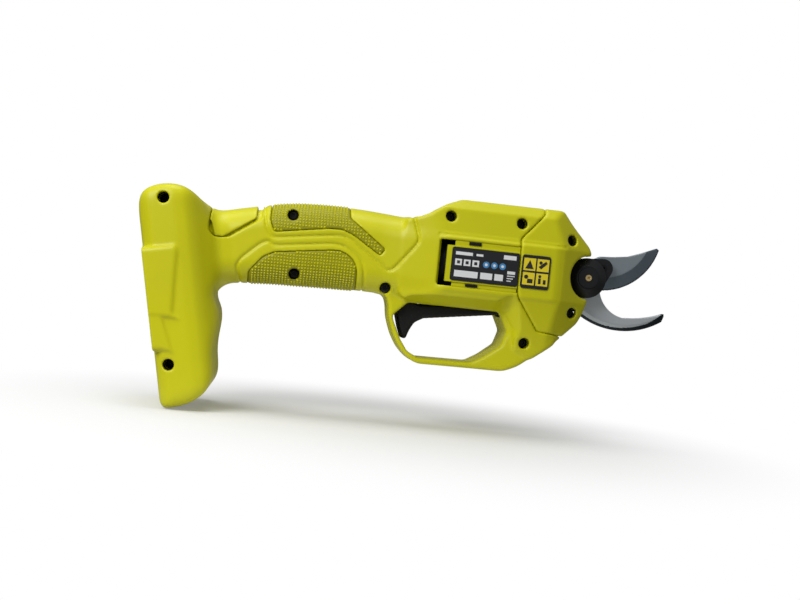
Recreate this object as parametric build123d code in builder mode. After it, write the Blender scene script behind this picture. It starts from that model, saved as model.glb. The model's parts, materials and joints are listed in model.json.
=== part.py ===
from build123d import *
import os
from math import acos, atan2, cos, degrees, pi, radians, sin, sqrt, tan

os.makedirs("parts", exist_ok=True)

# ---------------------------------------------------------------- overall sizes (mm)
foot_tilt = 12.0  # degrees the battery foot leans from upright
foot_length = 117.0
foot_width = 78.0
foot_corner = 12.0
foot_depth = 34.0  # from the battery face to the front of the foot
grip_width = 35.0
grip_corner = 13.0
body_width = 52.0
body_top = 68.7
plateau_top = 48.0  # upper ridge of the flat side panel
plateau_bottom = 20.0
guard_width = 26.0
wall = 3.0
axis_z = 34.5  # height of the motor and gear axis
pivot_x = 230.5  # blade pivot, ahead of the battery face

# ---------------------------------------------------------------- fits and clearances
running_fit = 0.05  # radial play of a shaft in its bore
slide_gap = 0.1  # flat faces that slide past each other
free_gap = 0.4  # moving piece beside the housing

# ---------------------------------------------------------------- battery socket
stem_height = 30.0
stem_width = 24.0
stem_corner = 6.4
stem_depth = 42.0
stem_centre = -22.0  # along the face, upwards from its centre
socket_wall = 1.6
terminal_depth = 6.0

# ---------------------------------------------------------------- motor and gears
motor_r = 17.5
motor_back = 144.0
motor_front = 182.0
can_wall = 1.5
magnet_thick = 2.5
armature_r = 12.6
shaft_r = 1.6
module = 0.6
sun_teeth = 12
planet_teeth = 18
ring_teeth = 48
pressure_angle = radians(25)
tooth_thinning = 0.07  # taken off each flank
planet_count = 3
planet_pin_r = 1.9
gearbox_r = 18.0
gear_back = 184.0  # front face of the motor plate
ring_front = 197.0
planet_back = 186.0
planet_front = 192.0
carrier_back = 193.0
carrier_front = 196.0
carrier_r = 12.6
output_r = 4.0
bearing_back = 199.0
bearing_front = 204.0
bearing_r = 9.0
case_front = 207.5
bevel_module = 0.9333
pinion_teeth = 12
bevel_teeth = 36  # teeth of a full wheel; the blade gear carries a sector
sector_first = 168.0  # degrees, from +X towards +Z
sector_last = 234.0
bevel_face = 4.8
pinion_shank_r = 2.2  # end of the carrier's shaft inside the pinion
pinion_step = pivot_x - 21.5  # the shaft steps down here
pinion_back = pivot_x - 20.9
shank_front = pivot_x - 12.6

# ---------------------------------------------------------------- blades and pivot
blade_thick = 3.5
hook_thick = 4.0
bracket_thick = 4.0
bolt_r = 4.5
bolt_head_r = 5.5
hub_r = 10.9
hub_cone_r = 6.4
hub_side = 6.4  # straight part of the hub, above the blade
hub_cone = 3.2
arm_thick = 4.9
arm_screw_at = (9.2, 6.2)  # from the pivot
arm_r = 5.3
arm_screw_head_r = 2.2
blade_hub_r = 10.6
nose_cut_r = 11.7  # round cut in the nose about the hub

# ---------------------------------------------------------------- trigger
trigger_pivot = (188.0, 13.3)
trigger_width = 16.0
trigger_hub_r = 2.8
trigger_pin_r = 1.5
trigger_pin_half = 12.0
trigger_top = 13.0  # flat top over the finger hook
trigger_step = 10.6  # lower top under the motor
trigger_under = 9.2  # underside at its front end
spring_x = 135.6
bridge_low = 22.0  # underside of the shelf the switch stands on
plunger_x = 130.2
plunger_travel = 7.1
switch_bottom = 26.0
switch_top = 38.0
switch_x0 = 122.0
switch_x1 = 137.0
switch_half = 5.0

# ---------------------------------------------------------------- power switch and board
power_x = (42.6, 54.0)
power_half = 5.0
power_low = 37.0
power_high = 47.6
lug_low = 45.6
board_back = 66.0
board_front = 112.0

# ---------------------------------------------------------------- fasteners
screw_shank_r = 1.5
screw_head_r = 2.7
screw_head_h = 2.2
boss_r = 4.6
nose_boss_r = 3.4
body_screws = [  # x, z, depth of the head's seat from the mid plane
    (3.0, 51.0, 16.0),
    (14.0, -32.6, 16.0),
    (68.6, 50.6, 9.0),
    (72.2, 19.9, 9.0),
    (121.0, 17.6, 10.0),
    (151.2, 58.8, 13.0),
    (189.4, 59.0, 13.0),
    (198.0, -4.2, 10.0),
]
nose_screws_at = [(218.2, 53.2, 8.0), (222.4, 14.6, 8.0)]

# ---------------------------------------------------------------- planes
sin_tilt = sin(radians(foot_tilt))
cos_tilt = cos(radians(foot_tilt))
# local x runs down the battery face, local z into the tool
foot_plane = Plane(origin=(0, 0, 0), x_dir=(sin_tilt, 0, -cos_tilt), z_dir=(cos_tilt, 0, sin_tilt))
# local x runs down the face, local y into the tool
foot_side = Plane(origin=(0, 0, 0), x_dir=(sin_tilt, 0, -cos_tilt), z_dir=(0, -1, 0))
side = Plane.XZ  # its normal points to the right side, -Y
cross = Plane.YZ  # its normal is +X


def axis_point(x, y=0.0):
    """A point beside the drive axis."""
    return (x, y, axis_z)


def ring_along_x(x0, x1, r_out, r_in=0.0):
    """Sketches and extrudes a round piece about the drive axis."""
    with BuildPart() as piece:
        with BuildSketch(Plane(origin=axis_point(x0), x_dir=(0, 1, 0), z_dir=(1, 0, 0))):
            Circle(r_out)
            if r_in > 0:
                Circle(r_in, mode=Mode.SUBTRACT)
        extrude(amount=x1 - x0)
    return piece.part


def pin_along_y(x, z, y0, y1, r):
    """A round pin or hole across the tool, from y0 to y1."""
    with BuildPart() as piece:
        with BuildSketch(Plane(origin=(x, y0, z), x_dir=(1, 0, 0), z_dir=(0, 1, 0))):
            Circle(r)
        extrude(amount=y1 - y0)
    return piece.part


def plate_xz(points, y0, y1):
    """A flat plate with its outline in X and Z, from y0 to y1."""
    with BuildPart() as piece:
        with BuildSketch(Plane.XZ.offset(-y0)):
            with BuildLine():
                Polyline(*points, close=True)
            make_face()
        extrude(amount=-(y1 - y0))
    return piece.part


def block(x0, x1, y0, y1, z0, z1):
    """A plain block between two corners."""
    with BuildPart() as piece:
        with BuildSketch(Plane.XY.offset(z0)):
            with Locations(((x0 + x1) / 2, (y0 + y1) / 2)):
                Rectangle(x1 - x0, y1 - y0)
        extrude(amount=z1 - z0)
    return piece.part


# ================================================================ outer forms
def foot_form(inset):
    """The foot: side profile, face outline and plan, all drawn in by inset."""
    top = -foot_length / 2 + inset
    bottom = foot_length / 2 - inset
    front = foot_depth - inset
    back = inset
    half = foot_width / 2 - inset
    with BuildPart() as form:
        with BuildSketch(foot_side):
            with BuildLine():
                Polyline(
                    (top, back),
                    (top, foot_depth * 0.3),
                    (top + 4.5, foot_depth * 0.62),
                    (top + 15.5, front),
                    (bottom - 44.0, front),
                    (bottom - 28.5, front - 4.0),
                    (bottom - 12.5, front - 6.2),
                    (bottom - 7.0, front - 10.0),
                    (bottom, max(8.8, back + 1)),
                    (bottom, back),
                    close=True,
                )
            make_face()
        extrude(amount=foot_width, both=True)
        with BuildSketch(foot_plane):
            RectangleRounded(foot_length - 2 * inset, foot_width - 2 * inset, foot_corner - inset * 0.6)
        extrude(amount=2 * foot_depth, both=True, mode=Mode.INTERSECT)
        with BuildSketch(Plane(origin=(0, 0, 0), x_dir=(0, 1, 0), z_dir=foot_plane.x_dir)):
            with BuildLine():
                Polyline(
                    (half, -1),
                    (half, foot_depth * 0.42),
                    (half - 5, foot_depth * 0.68),
                    (half - 17, foot_depth + 1),
                    (-half + 17, foot_depth + 1),
                    (-half + 5, foot_depth * 0.68),
                    (-half, foot_depth * 0.42),
                    (-half, -1),
                    close=True,
                )
            make_face()
        extrude(amount=foot_length, both=True, mode=Mode.INTERSECT)
    return form.part


# grip stations: x, bottom, top, half width; the grip lies along the battery slide at its rear
slide_slope = tan(radians(foot_tilt))
grip_stations = [
    (14.0, 10.6 - 16 * slide_slope, 49.0 - 16 * slide_slope, grip_width / 2),
    (30.0, 10.6, 49.0, grip_width / 2),
    (50.0, 12.8, 49.0 + 20 * slide_slope, grip_width / 2),
    (70.0, 13.6, 57.2, grip_width / 2 + 0.5),
    (95.0, 14.4, 58.4, grip_width / 2 + 0.5),
    (118.0, 14.4, 57.2, grip_width / 2 + 1.5),
    (140.0, 12.5, 57.0, grip_width / 2 + 5),
]


def grip_form(inset):
    """The grip, lofted through its stations and drawn in by inset."""
    with BuildPart() as form:
        for x, bottom, top, half in grip_stations:
            with BuildSketch(cross.offset(x)):
                with Locations((0, (bottom + top) / 2)):
                    RectangleRounded(2 * (half - inset), top - bottom - 2 * inset, grip_corner - inset)
        loft(ruled=True)
    return form.part


half_body = body_width / 2
nose_end = pivot_x + 1.0
trigger_roof = 11.6  # upper edge of the finger opening
scoop_reach = 13.4  # from the side of the guard out past the side of the body
scoop_angle = 28.0  # degrees the scoop's wall leans out
body_outline = [
    (128.0, 15.2),
    (128.0, 55.6),
    (136.0, 57.8),
    (141.4, 60.3),
    (148.5, 65.3),
    (157.0, body_top),
    (212.8, body_top),
    (nose_end, 48.1),
    (nose_end, 22.0),
    (228.4, 10.6),
    (215.2, -2.5),
    (202.7, -12.1),
    (193.0, -8.0),
    (191.0, 4.0),
    (186.0, trigger_roof),
    (134.0, trigger_roof),
]
guard_outline = [
    (121.0, 15.3),
    (123.6, 9.8),
    (124.6, 2.0),
    (127.7, -6.4),
    (131.7, -13.2),
    (136.6, -18.1),
    (142.0, -21.0),
    (188.9, -20.6),
    (196.5, -17.2),
    (202.7, -12.1),
    (215.2, -2.5),
    (200.0, 20.0),
    (130.0, 20.0),
]
finger_outline = [
    (126.8, 3.4),
    (134.8, trigger_roof),
    (183.6, trigger_roof),
    (188.6, 1.0),
    (186.2, -6.8),
    (177.9, -13.4),
    (171.0, -17.3),
    (142.4, -17.6),
    (136.5, -14.6),
    (132.2, -8.6),
    (127.9, 0.2),
]


def body_section(inset):
    """Section across the body: wide side panels, sloping in to the guard and the top."""
    half = half_body - inset
    return [
        (guard_width / 2 - inset, -22.0),
        (half - 1.6, plateau_bottom - 2.0 + inset * 0.5),
        (half, plateau_bottom + inset * 0.5),
        (half, plateau_top - inset * 0.5),
        (half - 1.8, plateau_top + 2.4 - inset * 0.5),
        (half - 3.2, body_top - 5.5 - inset),
        (half - 8.0, body_top - inset),
    ]


def body_form(outlines, inset):
    """The body: side outline, section across and plan, all drawn in by inset."""
    with BuildPart() as form:
        with BuildSketch(side):
            for outline in outlines:
                with BuildLine():
                    Polyline(*outline, close=True)
                make_face()
            if inset > 0:
                offset(amount=-inset, kind=Kind.INTERSECTION)
        extrude(amount=body_width, both=True)
        with BuildSketch(cross):
            with BuildLine():
                right = [(-y, z) for y, z in body_section(inset)]
                Polyline(*body_section(inset), *reversed(right), close=True)
            make_face()
        extrude(amount=2 * pivot_x, mode=Mode.INTERSECT)
        with BuildSketch(Plane.XY.offset(-foot_length)):
            half = half_body - inset
            left = [
                (110.0, grip_width / 2 - inset),
                (126.0, grip_width / 2 + 1.5 - inset),
                (146.0, half - 2.0),
                (152.0, half),
                (208.5, half),
                (214.0, half - 1.6),
                (nose_end + 1, 12.5 - inset),
            ]
            with BuildLine():
                Polyline(*left, *reversed([(x, -y) for x, y in left]), close=True)
            make_face()
        extrude(amount=3 * foot_length, mode=Mode.INTERSECT)
    return form.part


# ================================================================ housing shell
foot_outer = foot_form(0)
grip_outer = grip_form(0)
body_outer = body_form([body_outline, guard_outline], 0)
foot_cavity = foot_form(wall)
grip_cavity = grip_form(wall)
body_cavity = body_form([body_outline], wall)

with BuildPart() as cavity:
    add(foot_cavity)
    add(grip_cavity)
    add(body_cavity)

# seats cut in the ribs: everything round on the drive axis, plus the board and the socket
rib_thick = 2.4
motor_ribs = (150.0, 176.0)
gear_rib = 188.0
case_rib = 200.0
grip_ribs = (80.0, 104.0)
power_rib = 51.0
board_z = 35.0
board_half = 11.0
board_thick = 1.6
end_cap_thick = 4.0  # rear cap of the motor
rib_low = -25.0
rib_top = 75.0
lead_way = (18.0, power_low - 1.6)  # heights of the opening for the leads under the power switch
board_way = (26.0, 46.0)  # heights of the opening round the board's parts
trigger_way = 17.5  # the motor ribs stop above the trigger at this height


def rib_at(x):
    """A rib across the whole tool, still to be trimmed to the inside of the shell."""
    return block(x, x + rib_thick, -half_body, half_body, rib_low, rib_top)


def rib_opening(x, half, low, high):
    """A cut through the rib at x, a little longer than the rib is thick."""
    return block(x - 1, x + rib_thick + 1, -half, half, low, high)


with BuildPart() as switch_rib:
    add(rib_at(power_rib))
    add(grip_cavity, mode=Mode.INTERSECT)
    add(rib_opening(power_rib, power_half, power_low, rib_top), mode=Mode.SUBTRACT)
    add(rib_opening(power_rib, 9.0, *lead_way), mode=Mode.SUBTRACT)
with BuildPart() as ribs:
    for x in (*motor_ribs, gear_rib, case_rib, *grip_ribs):
        add(rib_at(x))
    add(cavity.part, mode=Mode.INTERSECT)
    add(ring_along_x(motor_back - end_cap_thick, motor_front, motor_r), mode=Mode.SUBTRACT)
    add(ring_along_x(motor_front, case_front, gearbox_r), mode=Mode.SUBTRACT)
    for x in grip_ribs:
        add(rib_opening(x, 6.0, *board_way), mode=Mode.SUBTRACT)
        add(rib_opening(x, board_half, board_z, board_z + board_thick), mode=Mode.SUBTRACT)
    add(switch_rib.part)
    for x in motor_ribs:
        add(rib_opening(x, 9.0, rib_low, trigger_way), mode=Mode.SUBTRACT)


with BuildPart() as shelf:
    add(block(switch_x0 + 1, spring_x + 3.6, -half_body, half_body, bridge_low, switch_bottom))
    add(cavity.part, mode=Mode.INTERSECT)
    with BuildSketch(Plane.XY.offset(bridge_low)):
        with Locations((plunger_x, 0)):
            Circle(3.0)
    extrude(amount=switch_bottom - bridge_low, mode=Mode.SUBTRACT)


def socket_solid(height, width, corner, start, depth):
    """A prism along the battery slide, from the face inwards."""
    with BuildPart() as prism:
        with BuildSketch(foot_plane.offset(start)):
            with Locations((stem_centre, 0)):
                RectangleRounded(height, width, corner)
        extrude(amount=depth)
    return prism.part


sleeve_height = stem_height + 2 * socket_wall
sleeve_width = stem_width + 2 * socket_wall
sleeve_corner = stem_corner + socket_wall
sleeve_end = stem_depth + terminal_depth

cap_top_line = [(26.2, 60.0), (26.2, 38.2), (29.0, 35.4), (33.6, 35.4), (49.8, 46.8), (49.8, 60.0)]
cap_gap = 0.5
cap_travel = 2.5
cap_thick = 1.8
cap_window = (43.4, 50.4)
cap_lug = (43.9, 47.0)
cap_lug_half = 2.5

with BuildPart() as cap_pocket_cut:
    with BuildSketch(side):
        with BuildLine():
            Polyline(*cap_top_line, close=True)
        make_face()
        offset(amount=cap_gap, kind=Kind.INTERSECTION)
    extrude(amount=half_body, both=True)
with BuildPart() as cap_slide_cut:
    add(cap_pocket_cut.part)
    slide_step = Vector(cos_tilt, 0, sin_tilt) * cap_travel
    add(Pos(slide_step.X, 0, slide_step.Z) * cap_pocket_cut.part)
    add(grip_outer, mode=Mode.INTERSECT)
    add(grip_form(cap_thick + 0.2), mode=Mode.SUBTRACT)

with BuildPart() as nose_bosses:
    for x, z, seat in nose_screws_at:
        add(pin_along_y(x, z, -half_body, half_body, nose_boss_r))
    add(body_outer, mode=Mode.INTERSECT)

with BuildPart() as shell:
    add(foot_outer)
    add(grip_outer)
    add(body_outer)
    add(cavity.part, mode=Mode.SUBTRACT)
    add(ribs.part)
    # screw bosses reach from side to side
    for x, z, seat in body_screws:
        add(pin_along_y(x, z, -seat - 2.0, seat, boss_r))
    add(nose_bosses.part)
    for x, z, seat in body_screws:
        add(pin_along_y(x, z, -half_body - foot_width, -seat, screw_head_r + 0.15), mode=Mode.SUBTRACT)
        add(pin_along_y(x, z, -seat, seat - 1.5, screw_shank_r), mode=Mode.SUBTRACT)
    for x, z, seat in nose_screws_at:
        add(pin_along_y(x, z, -half_body, -seat, screw_head_r + 0.15), mode=Mode.SUBTRACT)
        add(pin_along_y(x, z, -seat, seat + 1.0, screw_shank_r), mode=Mode.SUBTRACT)
    # battery socket through the foot's face
    sleeve_hole = socket_solid(sleeve_height, sleeve_width, sleeve_corner, -1, sleeve_end + 1)
    add(sleeve_hole, mode=Mode.SUBTRACT)
    # finger opening, and its sloping scoop on both sides
    add(plate_xz(finger_outline, -half_body, half_body), mode=Mode.SUBTRACT)
    for direction in (-1, 1):
        with BuildSketch(Plane.XZ.offset(-direction * guard_width / 2)):
            with BuildLine():
                Polyline(*finger_outline, close=True)
            make_face()
        extrude(amount=-direction * scoop_reach, taper=-scoop_angle, mode=Mode.SUBTRACT)
    for direction in (-1, 1):
        inner = min(direction * guard_width / 2, direction * half_body)
        add(block(119, 172, inner, inner + guard_width / 2, -25, trigger_roof - 1), mode=Mode.SUBTRACT)
    # room for the trigger above the finger opening
    trigger_room = trigger_width / 2 + free_gap
    room_low = trigger_under - free_gap
    room_top = trigger_top + plunger_travel + 0.3
    room_front = trigger_pivot[0] + trigger_hub_r + free_gap
    add(block(127.4, 150.0, -trigger_room, trigger_room, 2.0, room_top), mode=Mode.SUBTRACT)
    add(block(149.0, room_front, -trigger_room, trigger_room, room_low, 16.6), mode=Mode.SUBTRACT)
    for y0, y1 in ((-trigger_pin_half - 2, -trigger_room), (trigger_room, trigger_pin_half + 2)):
        add(pin_along_y(*trigger_pivot, y0, y1, trigger_pin_r + 2.0))
    trigger_pin_hole = pin_along_y(*trigger_pivot, -trigger_pin_half, trigger_pin_half, trigger_pin_r)
    add(trigger_pin_hole, mode=Mode.SUBTRACT)
    # shelf across the grip for the trigger switch, with a hole for its plunger
    add(shelf.part)
    # round cut about the blade hub and the mouth the blades leave by
    add(pin_along_y(pivot_x, axis_z, -half_body, half_body, nose_cut_r), mode=Mode.SUBTRACT)
    mouth = block(226, nose_end + 2, -blade_thick - 1.0, hook_thick + bracket_thick + 0.4, 13.6, 47.4)
    add(mouth, mode=Mode.SUBTRACT)
    # pocket of the power switch cap and the window for its lug
    add(cap_slide_cut.part, mode=Mode.SUBTRACT)
    add(block(*cap_window, -cap_lug_half - 0.6, cap_lug_half + 0.6, 44, 60), mode=Mode.SUBTRACT)

# ================================================================ grip pads, side panels, nose seam
pad_thick = 1.6
pad_upper_line = [(57.0, 70.0), (57.0, 46.5), (59.5, 40.6), (88.5, 45.4), (95.1, 45.6), (101.0, 43.4),
                  (116.2, 34.0), (118.8, 37.8), (98.9, 52.2), (98.2, 70.0)]
pad_lower_line = [(47.6, 0.0), (48.2, 18.9), (55.1, 27.3), (60.9, 30.4), (89.6, 34.4), (94.4, 34.8),
                  (99.0, 33.2), (102.8, 30.2), (104.8, 25.6), (106.6, 0.0)]
panel_box = (150.5, 189.3, 24.5, 43.6)  # x and z limits of the panel's face
panel_thick = 2.4
slot_box = (146.5, 191.0, 22.2, 46.4)
nose_seam = [(202.0, body_top + 5), (202.0, 65.4), (189.6, 50.9), (189.6, 25.6), (190.7, 20.1),
             (203.9, 3.0), (214.0, 3.0), (214.0, -30.0), (260.0, -30.0), (260.0, body_top + 5)]


def pad_solid(line):
    """The skin of the grip inside a side outline, on both sides."""
    with BuildPart() as pad:
        with BuildSketch(side):
            with BuildLine():
                Polyline(*line, close=True)
            make_face()
        extrude(amount=half_body, both=True)
        add(grip_outer, mode=Mode.INTERSECT)
        add(grip_form(pad_thick), mode=Mode.SUBTRACT)
        for x, z, seat in body_screws:
            add(pin_along_y(x, z, -half_body - 5, 0, screw_head_r + 0.15), mode=Mode.SUBTRACT)
    return pad.part


pad_upper = pad_solid(pad_upper_line)
pad_lower = pad_solid(pad_lower_line)

slot_x0, slot_x1, slot_z0, slot_z1 = slot_box
panel_x0, panel_x1, panel_z0, panel_z1 = panel_box
with BuildPart() as slot_cut:
    add(block(slot_x0, panel_x1, half_body - wall - 1, half_body + 1, slot_z0, slot_z1))
    add(block(slot_x0, panel_x1, -half_body - 1, -half_body + wall + 1, slot_z0, slot_z1))
with BuildPart() as nose_zone:
    with BuildSketch(side):
        with BuildLine():
            Polyline(*nose_seam, close=True)
        make_face()
    extrude(amount=half_body + 2, both=True)

with BuildPart() as main_shell:
    add(shell.part)
    add(pad_upper, mode=Mode.SUBTRACT)
    add(pad_lower, mode=Mode.SUBTRACT)
    add(slot_cut.part, mode=Mode.SUBTRACT)
    add(nose_zone.part, mode=Mode.SUBTRACT)
with BuildPart() as nose_shell:
    add(shell.part)
    add(nose_zone.part, mode=Mode.INTERSECT)


def half_of(whole, right):
    """The right (-Y) or left half of a piece cut on the mid plane."""
    with BuildPart() as half:
        add(whole)
        split(bisect_by=Plane.XZ, keep=Keep.TOP if right else Keep.BOTTOM)
    return half.part


def save(part, name):
    part.label = name
    export_step(part, f"parts/{name}.step")
    solids = part.solids()
    print(f"{name:24s} solids {len(solids)}  volume {sum(s.volume for s in solids):9.1f}")


foot_end = 36.0  # the foot shell reaches this far into the tool
guard_top = 9.0  # the hoop round the finger opening lies below this height
foot_cut = foot_plane.offset(foot_end)
guard_cut = Plane.XY.offset(guard_top)


def cut_by(whole, plane, keep):
    """One side of a piece cut by a plane."""
    with BuildPart() as cut:
        add(whole)
        split(bisect_by=plane, keep=keep)
    return cut.part


for right, word in ((True, "right"), (False, "left")):
    half = half_of(main_shell.part, right)
    ahead = cut_by(half, foot_cut, Keep.TOP)
    save(cut_by(half, foot_cut, Keep.BOTTOM), f"housing_foot_{word}")
    save(cut_by(ahead, guard_cut, Keep.TOP), f"housing_{word}")
    save(cut_by(ahead, guard_cut, Keep.BOTTOM), f"housing_guard_{word}")
    save(half_of(nose_shell.part, right), f"nose_cover_{word}")
    save(half_of(pad_upper, right), f"grip_pad_upper_{word}")
    save(half_of(pad_lower, right), f"grip_pad_lower_{word}")

# ---- side panels: a face plate in the slot, with ribs to the motor can
for out, word in ((-1, "right"), (1, "left")):
    face_out = out * half_body
    face_in = out * (half_body - panel_thick)
    with BuildPart() as panel:
        add(block(panel_x0, panel_x1, min(face_out, face_in), max(face_out, face_in), panel_z0, panel_z1))
        # two bars above and below clip the plate into the slot's long edges
        for z0, z1 in ((slot_z0, panel_z0), (panel_z1, slot_z1)):
            bar_out = out * (half_body - 0.9)
            bar = block(slot_x0 + 8, panel_x1, min(bar_out, face_in), max(bar_out, face_in), z0, z1)
            add(bar)
    save(panel.part, f"vent_panel_{word}")

label_thick = 0.3
label_bottom = 25.2
label_top = 42.9
rating_span = (153.0, 189.2)
warning_span = (190.6, 206.0)
label_height = label_top - label_bottom
label_middle = (label_top + label_bottom) / 2
with BuildPart() as rating_label:
    with BuildSketch(Plane.XZ.offset(half_body)):
        with Locations((sum(rating_span) / 2, label_middle)):
            RectangleRounded(rating_span[1] - rating_span[0], label_height, 1.2)
    extrude(amount=label_thick)
save(rating_label.part, "rating_label")
with BuildPart() as warning_label:
    with BuildSketch(Plane.XZ.offset(half_body)):
        with Locations((sum(warning_span) / 2, label_middle)):
            RectangleRounded(warning_span[1] - warning_span[0], label_height, 1.4)
    extrude(amount=label_thick)
save(warning_label.part, "warning_label")


# ================================================================ fasteners
def screw_solid(x, z, seat, length):
    """Pan head on the right side, shank towards the left."""
    with BuildPart() as screw:
        add(pin_along_y(x, z, -seat - screw_head_h, -seat, screw_head_r))
        add(pin_along_y(x, z, -seat, -seat + length, screw_shank_r))
        with BuildSketch(Plane.XZ.offset(seat + screw_head_h)):
            with Locations((x, z)):
                RegularPolygon(1.3, 6)
        extrude(amount=-1.4, mode=Mode.SUBTRACT)
    return screw.part


with BuildPart() as housing_screws:
    for x, z, seat in body_screws:
        add(screw_solid(x, z, seat, 2 * seat - 1.5))
save(housing_screws.part, "housing_screws")
with BuildPart() as nose_screws:
    for x, z, seat in nose_screws_at:
        add(screw_solid(x, z, seat, 2 * seat + 1.0))
save(nose_screws.part, "nose_screws")

# ================================================================ battery socket
with BuildPart() as battery_socket:
    add(socket_solid(sleeve_height, sleeve_width, sleeve_corner, 0, stem_depth))
    add(socket_solid(stem_height, stem_width, stem_corner, -1, stem_depth + 2), mode=Mode.SUBTRACT)
save(battery_socket.part, "battery_socket")

contact_count = 3
contact_pitch = 8.0
contact_thick = 0.8
contact_width = 5.0
contact_length = 9.0
with BuildPart() as contact_slots:
    for i in range(contact_count):
        along = stem_centre + (i - 1) * contact_pitch
        with BuildSketch(foot_plane.offset(stem_depth - contact_length)):
            with Locations((along, 0)):
                Rectangle(contact_thick, contact_width)
        extrude(amount=contact_length + terminal_depth - 1.5)
with BuildPart() as terminal_block:
    add(socket_solid(sleeve_height, sleeve_width, sleeve_corner, stem_depth, terminal_depth))
    add(contact_slots.part, mode=Mode.SUBTRACT)
save(terminal_block.part, "terminal_block")
save(contact_slots.part, "battery_contacts")

# ================================================================ motor
with BuildPart() as motor_can:
    add(ring_along_x(motor_back, motor_front, motor_r, motor_r - can_wall))
    add(ring_along_x(motor_front - can_wall, motor_front, motor_r - can_wall, 4.0))
save(motor_can.part, "motor_can")

magnet_r = motor_r - can_wall
with BuildPart() as motor_magnets:
    add(ring_along_x(motor_back + 5, motor_front - 5, magnet_r, magnet_r - magnet_thick))
    for angle in (90, 270):
        gap = block(motor_back, motor_front, -3.5, 3.5, 0, motor_r)
        add(Pos(0, 0, axis_z) * Rot(angle, 0, 0) * gap, mode=Mode.SUBTRACT)
save(motor_magnets.part, "motor_magnets")

collar_thick = 1.6  # collar round the rear bearing
brush_r = 5.2
brush_back = motor_back + 1.2
brush_front = motor_back + 4.6
brush_half = 2.0
with BuildPart() as motor_end_cap:
    add(ring_along_x(motor_back - end_cap_thick, motor_back, motor_r, 4.0))
    add(ring_along_x(motor_back - end_cap_thick - collar_thick, motor_back - end_cap_thick, 6.0, 4.0))
    # two blocks carry the brushes inside the can
    for z in (-1, 1):
        z0 = axis_z + z * 11.6
        holder_half = brush_half + 1.6
        add(block(motor_back, brush_front, -holder_half, holder_half, z0 - 3.9, z0 + 3.9))
        inner = block(brush_back, brush_front, -brush_half, brush_half, z0 - 4.0, z0 + 4.0)
        add(inner, mode=Mode.SUBTRACT)
save(motor_end_cap.part, "motor_end_cap")

with BuildPart() as motor_brushes:
    for z in (-1, 1):
        z0 = axis_z + z * (brush_r + 0.1)
        z1 = axis_z + z * 14.5
        add(block(brush_back, brush_front, -brush_half, brush_half, min(z0, z1), max(z0, z1)))
save(motor_brushes.part, "motor_brushes")

with BuildPart() as motor_bearings:
    rear_bearing = motor_back - end_cap_thick - collar_thick
    for x0, x1 in ((rear_bearing, motor_back), (motor_front - 3.0, motor_front)):
        add(ring_along_x(x0, x1, 4.0, shaft_r + running_fit))
save(motor_bearings.part, "motor_bearings")

# ---- armature
shaft_back = motor_back - end_cap_thick - 1.0
sun_back = gear_back + 0.6
sun_front = carrier_back - 0.4
with BuildPart() as motor_shaft:
    add(ring_along_x(shaft_back, sun_front, shaft_r))
save(motor_shaft.part, "motor_shaft")
with BuildPart() as commutator:
    add(ring_along_x(motor_back + 0.6, motor_back + 6.0, brush_r - 0.2, shaft_r))
    with BuildSketch(Plane(origin=axis_point(motor_back + 0.6), x_dir=(0, 1, 0), z_dir=(1, 0, 0))):
        with PolarLocations(brush_r - 0.2, 10):
            Rectangle(1.0, 0.4)
    extrude(amount=5.4, mode=Mode.SUBTRACT)
save(commutator.part, "commutator")

core_back = motor_back + 10.0
core_front = motor_front - 8.0
slot_count = 5
with BuildPart() as armature_core:
    add(ring_along_x(core_back, core_front, armature_r, shaft_r))
    with BuildSketch(Plane(origin=axis_point(core_back), x_dir=(0, 1, 0), z_dir=(1, 0, 0))):
        with PolarLocations(armature_r - 4.4, slot_count):
            Circle(3.2)
        with PolarLocations(armature_r - 1.5, slot_count):
            Rectangle(4.0, 2.0)
    extrude(amount=core_front - core_back, mode=Mode.SUBTRACT)
save(armature_core.part, "armature_core")
with BuildPart() as armature_windings:
    for x0, x1 in ((core_back - 3.4, core_back), (core_front, core_front + 3.4)):
        add(ring_along_x(x0, x1, armature_r - 1.6, shaft_r))
    with BuildSketch(Plane(origin=axis_point(core_back), x_dir=(0, 1, 0), z_dir=(1, 0, 0))):
        with PolarLocations(armature_r - 4.4, slot_count):
            Circle(2.6)
    extrude(amount=core_front - core_back)
save(armature_windings.part, "armature_windings")


# ================================================================ gears
def involute(base, r):
    """Angle that an involute has turned by radius r."""
    if r <= base:
        return 0.0
    a = acos(base / r)
    return tan(a) - a


def gear_points(teeth, size, addendum, dedendum, thinning, phase):
    """Outline of a spur gear: involute flanks in short straight steps."""
    pitch_r = teeth * size / 2
    base = pitch_r * cos(pressure_angle)
    half_tooth = pi / (2 * teeth) - thinning / pitch_r + involute(base, pitch_r)
    root_r = pitch_r - dedendum
    tip_r = pitch_r + addendum
    start = max(root_r, base)
    radii = [start + (tip_r - start) * i / 3 for i in range(4)]
    flank = [(root_r, half_tooth)] if root_r < base - 0.01 else []
    flank += [(r, half_tooth - involute(base, r)) for r in radii]
    points = []
    for i in range(teeth):
        middle = phase + 2 * pi * i / teeth
        for r, a in flank:
            points.append((r * cos(middle - a), r * sin(middle - a)))
        for r, a in reversed(flank):
            points.append((r * cos(middle + a), r * sin(middle + a)))
    return points


def spur_gear(centre_y, centre_z, x0, x1, points, bore):
    """A straight gear along X."""
    with BuildPart() as gear:
        with BuildSketch(Plane(origin=(x0, centre_y, centre_z), x_dir=(0, 1, 0), z_dir=(1, 0, 0))):
            with BuildLine():
                Polyline(*points, close=True)
            make_face()
            if bore > 0:
                Circle(bore, mode=Mode.SUBTRACT)
        extrude(amount=x1 - x0)
    return gear.part


addendum = 0.9 * module
dedendum = 1.15 * module
planet_orbit = module * (sun_teeth + planet_teeth) / 2
planet_angles = [pi / 2 + 2 * pi * i / planet_count for i in range(planet_count)]

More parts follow.
